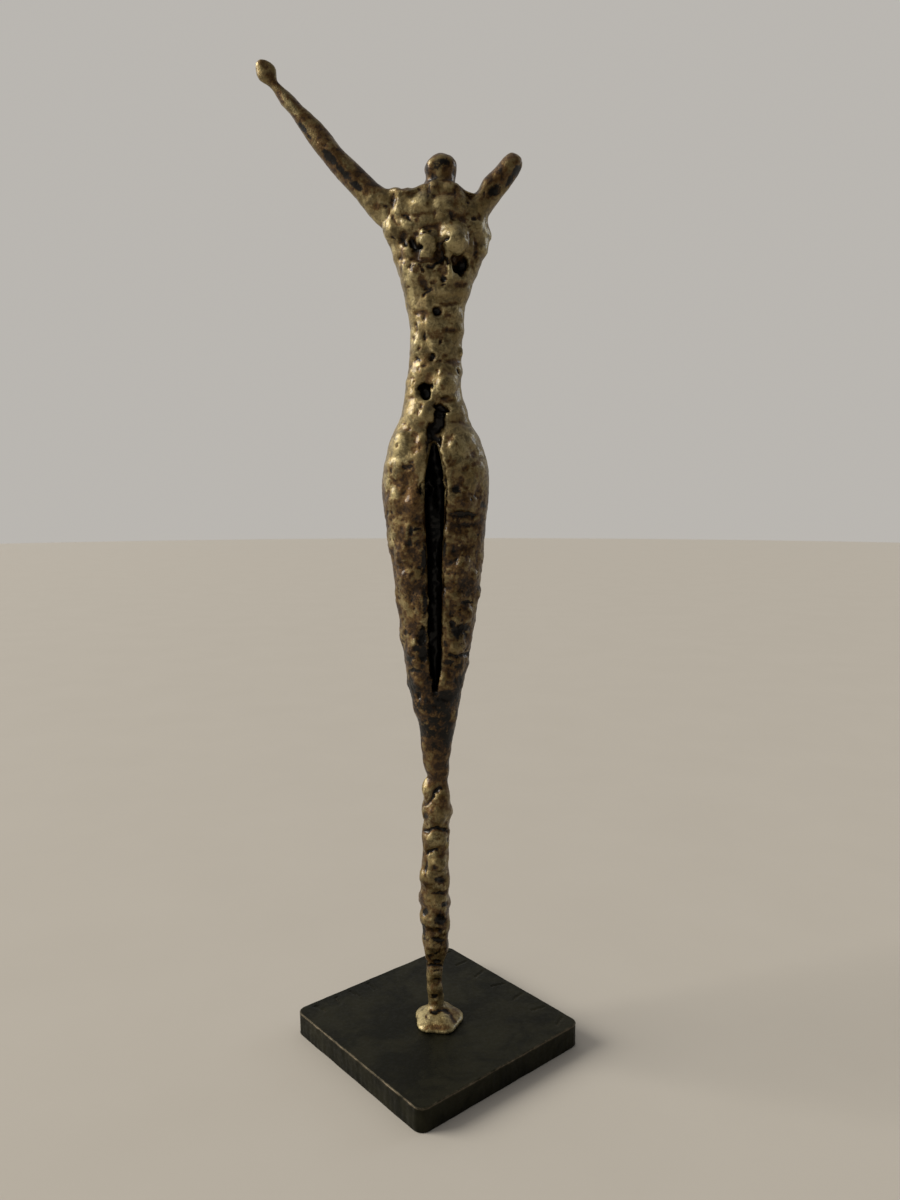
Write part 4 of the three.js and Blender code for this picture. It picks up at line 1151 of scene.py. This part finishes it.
def plate_skin():
    """The plate's detailed skin, in its own axes, then turned into place."""
    half, thick = PLATE["half"], PLATE["thick"]
    across = plate_lines(half)
    down = np.concatenate([[0, 0.15, 0.35, 0.6], np.arange(1.0, thick - 0.9, 0.45), thick - np.array([0.6, 0.35, 0.15, 0])])
    count, layers = len(across), len(down)
    index = -np.ones((count, count, layers), int)
    shell = np.zeros((count, count, layers), bool)
    shell[[0, -1]] = shell[:, [0, -1]] = shell[:, :, [0, -1]] = True
    index[shell] = np.arange(shell.sum())
    i, j, k = np.nonzero(shell)
    points = np.stack([across[i], across[j], down[k]], axis=1)
    faces = []
    for grid, flip in (
        (index[:, :, -1], False),
        (index[:, :, 0], True),
        (index[0], True),
        (index[-1], False),
        (index[:, 0], False),
        (index[:, -1], True),
    ):
        quads = np.stack([grid[:-1, :-1], grid[1:, :-1], grid[1:, 1:], grid[:-1, 1:]], axis=-1).reshape(-1, 4)
        faces.append(quads[:, ::-1] if flip else quads)
    faces = np.concatenate(faces)

    # Round the corners: the unit square of each corner becomes a quarter disc.
    straight = half - PLATE["corner"]
    u, v = (np.clip((np.abs(points[:, axis]) - straight) / PLATE["corner"], 0, 1) for axis in (0, 1))
    points[:, 0] = np.sign(points[:, 0]) * np.where(u > 0, straight + PLATE["corner"] * u * np.sqrt(1 - v * v / 2), np.abs(points[:, 0]))
    points[:, 1] = np.sign(points[:, 1]) * np.where(v > 0, straight + PLATE["corner"] * v * np.sqrt(1 - u * u / 2), np.abs(points[:, 1]))

    # How far inside the outline a point lies, and which way is out.
    qx, qy = np.abs(points[:, 0]) - straight, np.abs(points[:, 1]) - straight
    corner = np.hypot(np.maximum(qx, 0), np.maximum(qy, 0)) + np.minimum(np.maximum(qx, qy), 0)
    inset = PLATE["corner"] - corner
    out = np.stack([np.sign(points[:, 0]) * np.maximum(qx, 0), np.sign(points[:, 1]) * np.maximum(qy, 0)], axis=1)
    length = np.linalg.norm(out, axis=1)
    out = np.divide(out, length[:, None], out=np.zeros_like(out), where=length[:, None] > 1e-9)
    side = inset < 0.02
    top, bottom = points[:, 2] > thick - 1e-6, points[:, 2] < 1e-6

    # Worn edges, wavier on the sheared sides, and shear marks down the sides.
    wear = PLATE["edge"] * (0.75 + 0.5 * noise(points, 9, 81, 2))
    from_edge = np.where(top | bottom, inset, 0)
    gap = np.clip(1 - from_edge / wear, 0, 1)
    drop_by = wear * (1 - np.sqrt(1 - gap**2))
    from_face = np.minimum(points[:, 2], thick - points[:, 2])
    tuck = np.where(side, wear * (1 - np.sqrt(1 - np.clip(1 - from_face / wear, 0, 1) ** 2)), 0)
    marks = noise(points * (1, 1, 0.12), 1.6, 83, 2)
    rough_side = side * (0.1 + 0.16 * marks + 0.2 * noise(points, 5, 84, 2))
    points[:, :2] -= out * (tuck + np.maximum(rough_side, -0.05))[:, None]
    points[:, 2] += np.where(top, -drop_by, np.where(bottom, drop_by, 0))
    points[:, 2] += top * ease(0, 2, inset) * 0.05 * noise(points, 6, 85, 3)

    # The stamped strokes, as hollows in the top.
    pressed = np.zeros(len(points))
    for row, turn in ((STROKES_RIGHT, np.pi / 2), (STROKES_LEFT, 0.0)):
        for number, lean in enumerate(row["leans"]):
            step = row["from"] + number * row["step"]
            x, y = (STROKES["line"], step) if row is STROKES_RIGHT else (step, STROKES["line"])
            dx, dy = points[:, 0] - x, points[:, 1] - y
            cos, sin = np.cos(turn + lean), np.sin(turn + lean)
            beside = np.abs(dx * cos + dy * sin) / (STROKES["thick"] / 2)
            end = np.abs(dy * cos - dx * sin) / (STROKES["tall"] / 2)
            pressed = np.maximum(pressed, top * ease(1.3, 0.5, beside) * ease(1.1, 0.95, end))
    points[:, 2] -= STROKES["deep"] * pressed

    mesh = mesh_of("plate", points, faces)
    near_edge = ease(1.2, 0.1, inset) * top + side * ease(1.0, 0.2, thick - points[:, 2])
    attribute(mesh, "worn", 0.55 * near_edge + 0.5 * pressed + 0.25 * side)
    turn = Matrix.Rotation(np.radians(PLATE["turn"]), 4, "Z")
    mesh.transform(Matrix.Scale(MM, 4) @ turn)
    mesh.polygons.foreach_set("use_smooth", [True] * len(mesh.polygons))
    return mesh


def floor():
    """The plain pale floor."""
    disc = bmesh.new()
    bmesh.ops.create_circle(disc, cap_ends=True, segments=96, radius=4)
    mesh = bpy.data.meshes.new("floor")
    disc.to_mesh(mesh)
    disc.free()
    g = Graph("floor")
    g.put(g.shader.inputs["Base Color"], g.mix(g.noise(60), (0.45, 0.42, 0.38), (0.48, 0.45, 0.41)))
    g.put(g.shader.inputs["Roughness"], 0.7)
    mesh.materials.append(g.material)
    made = bpy.data.objects.new("floor", mesh)
    bpy.context.collection.objects.link(made)


# How bright the surroundings are: for each axis, the brightness at two places along it. They add up.
SURROUNDINGS = [
    (1, -0.6, 0.7, 0.10, 0.36),
    (0, 0.1, -0.9, 0.0, 0.5),
    (2, 0.2, 0.9, 0.0, 0.12),
]
BACKDROP = 0.5


def soft_sun(name, towards, angle, strength, colour):
    """A soft far light that shines along towards, from a part of the sky angle degrees wide."""
    data = bpy.data.lights.new(name, "SUN")
    data.angle = np.radians(angle)
    data.energy = strength
    data.color = colour
    light = bpy.data.objects.new(name, data)
    light.rotation_euler = (-Vector(towards)).to_track_quat("Z", "Y").to_euler()
    bpy.context.collection.objects.link(light)


def surroundings():
    """Pale surroundings that are brighter at the left and behind the figure than in front of it."""
    world = bpy.data.worlds.new("studio")
    world.use_nodes = True
    tree = world.node_tree
    place = tree.nodes.new("ShaderNodeTexCoord").outputs["Generated"]
    parts = tree.nodes.new("ShaderNodeSeparateXYZ")
    tree.links.new(place, parts.inputs[0])
    total = None
    for axis, low, high, least, most in SURROUNDINGS:
        span = tree.nodes.new("ShaderNodeMapRange")
        span.interpolation_type = "SMOOTHSTEP"
        tree.links.new(parts.outputs[axis], span.inputs[0])
        for socket, number in zip(span.inputs[1:5], (low, high, least, most)):
            socket.default_value = number
        if total is None:
            total = span.outputs[0]
            continue
        add = tree.nodes.new("ShaderNodeMath")
        tree.links.new(total, add.inputs[0])
        tree.links.new(span.outputs[0], add.inputs[1])
        total = add.outputs[0]
    seen = tree.nodes.new("ShaderNodeMix")
    tree.links.new(tree.nodes.new("ShaderNodeLightPath").outputs["Is Camera Ray"], seen.inputs[0])
    tree.links.new(total, seen.inputs[2])
    seen.inputs[3].default_value = BACKDROP
    background = tree.nodes["Background"]
    background.inputs["Color"].default_value = (0.98, 0.94, 0.88, 1)
    tree.links.new(seen.outputs[0], background.inputs["Strength"])
    bpy.context.scene.world = world


def studio():
    """Soft light from the left, and the camera."""
    surroundings()
    soft_sun("key", (0.8, 0.0, -0.5), 32, 3.1, (1, 0.95, 0.84))
    soft_sun("edge", (-0.8, -0.45, -0.3), 20, 0.3, (0.85, 0.92, 1))
    data = bpy.data.cameras.new("camera")
    data.lens = CAMERA["lens"]
    camera = bpy.data.objects.new("camera", data)
    columns = (CAMERA["right"], CAMERA["up"], [-value for value in CAMERA["ahead"]], CAMERA["at"])
    camera.matrix_world = Matrix([[*row] for row in zip(*columns)] + [[0, 0, 0, 1]])
    bpy.context.collection.objects.link(camera)
    bpy.context.scene.camera = camera
    bpy.context.scene.view_settings.view_transform = "Standard"


BALL = icosphere()
piece_of("figure_skin", figure_skin(), "figure", brass())
piece_of("plate_skin", plate_skin(), "base_plate", steel())
floor()
studio()
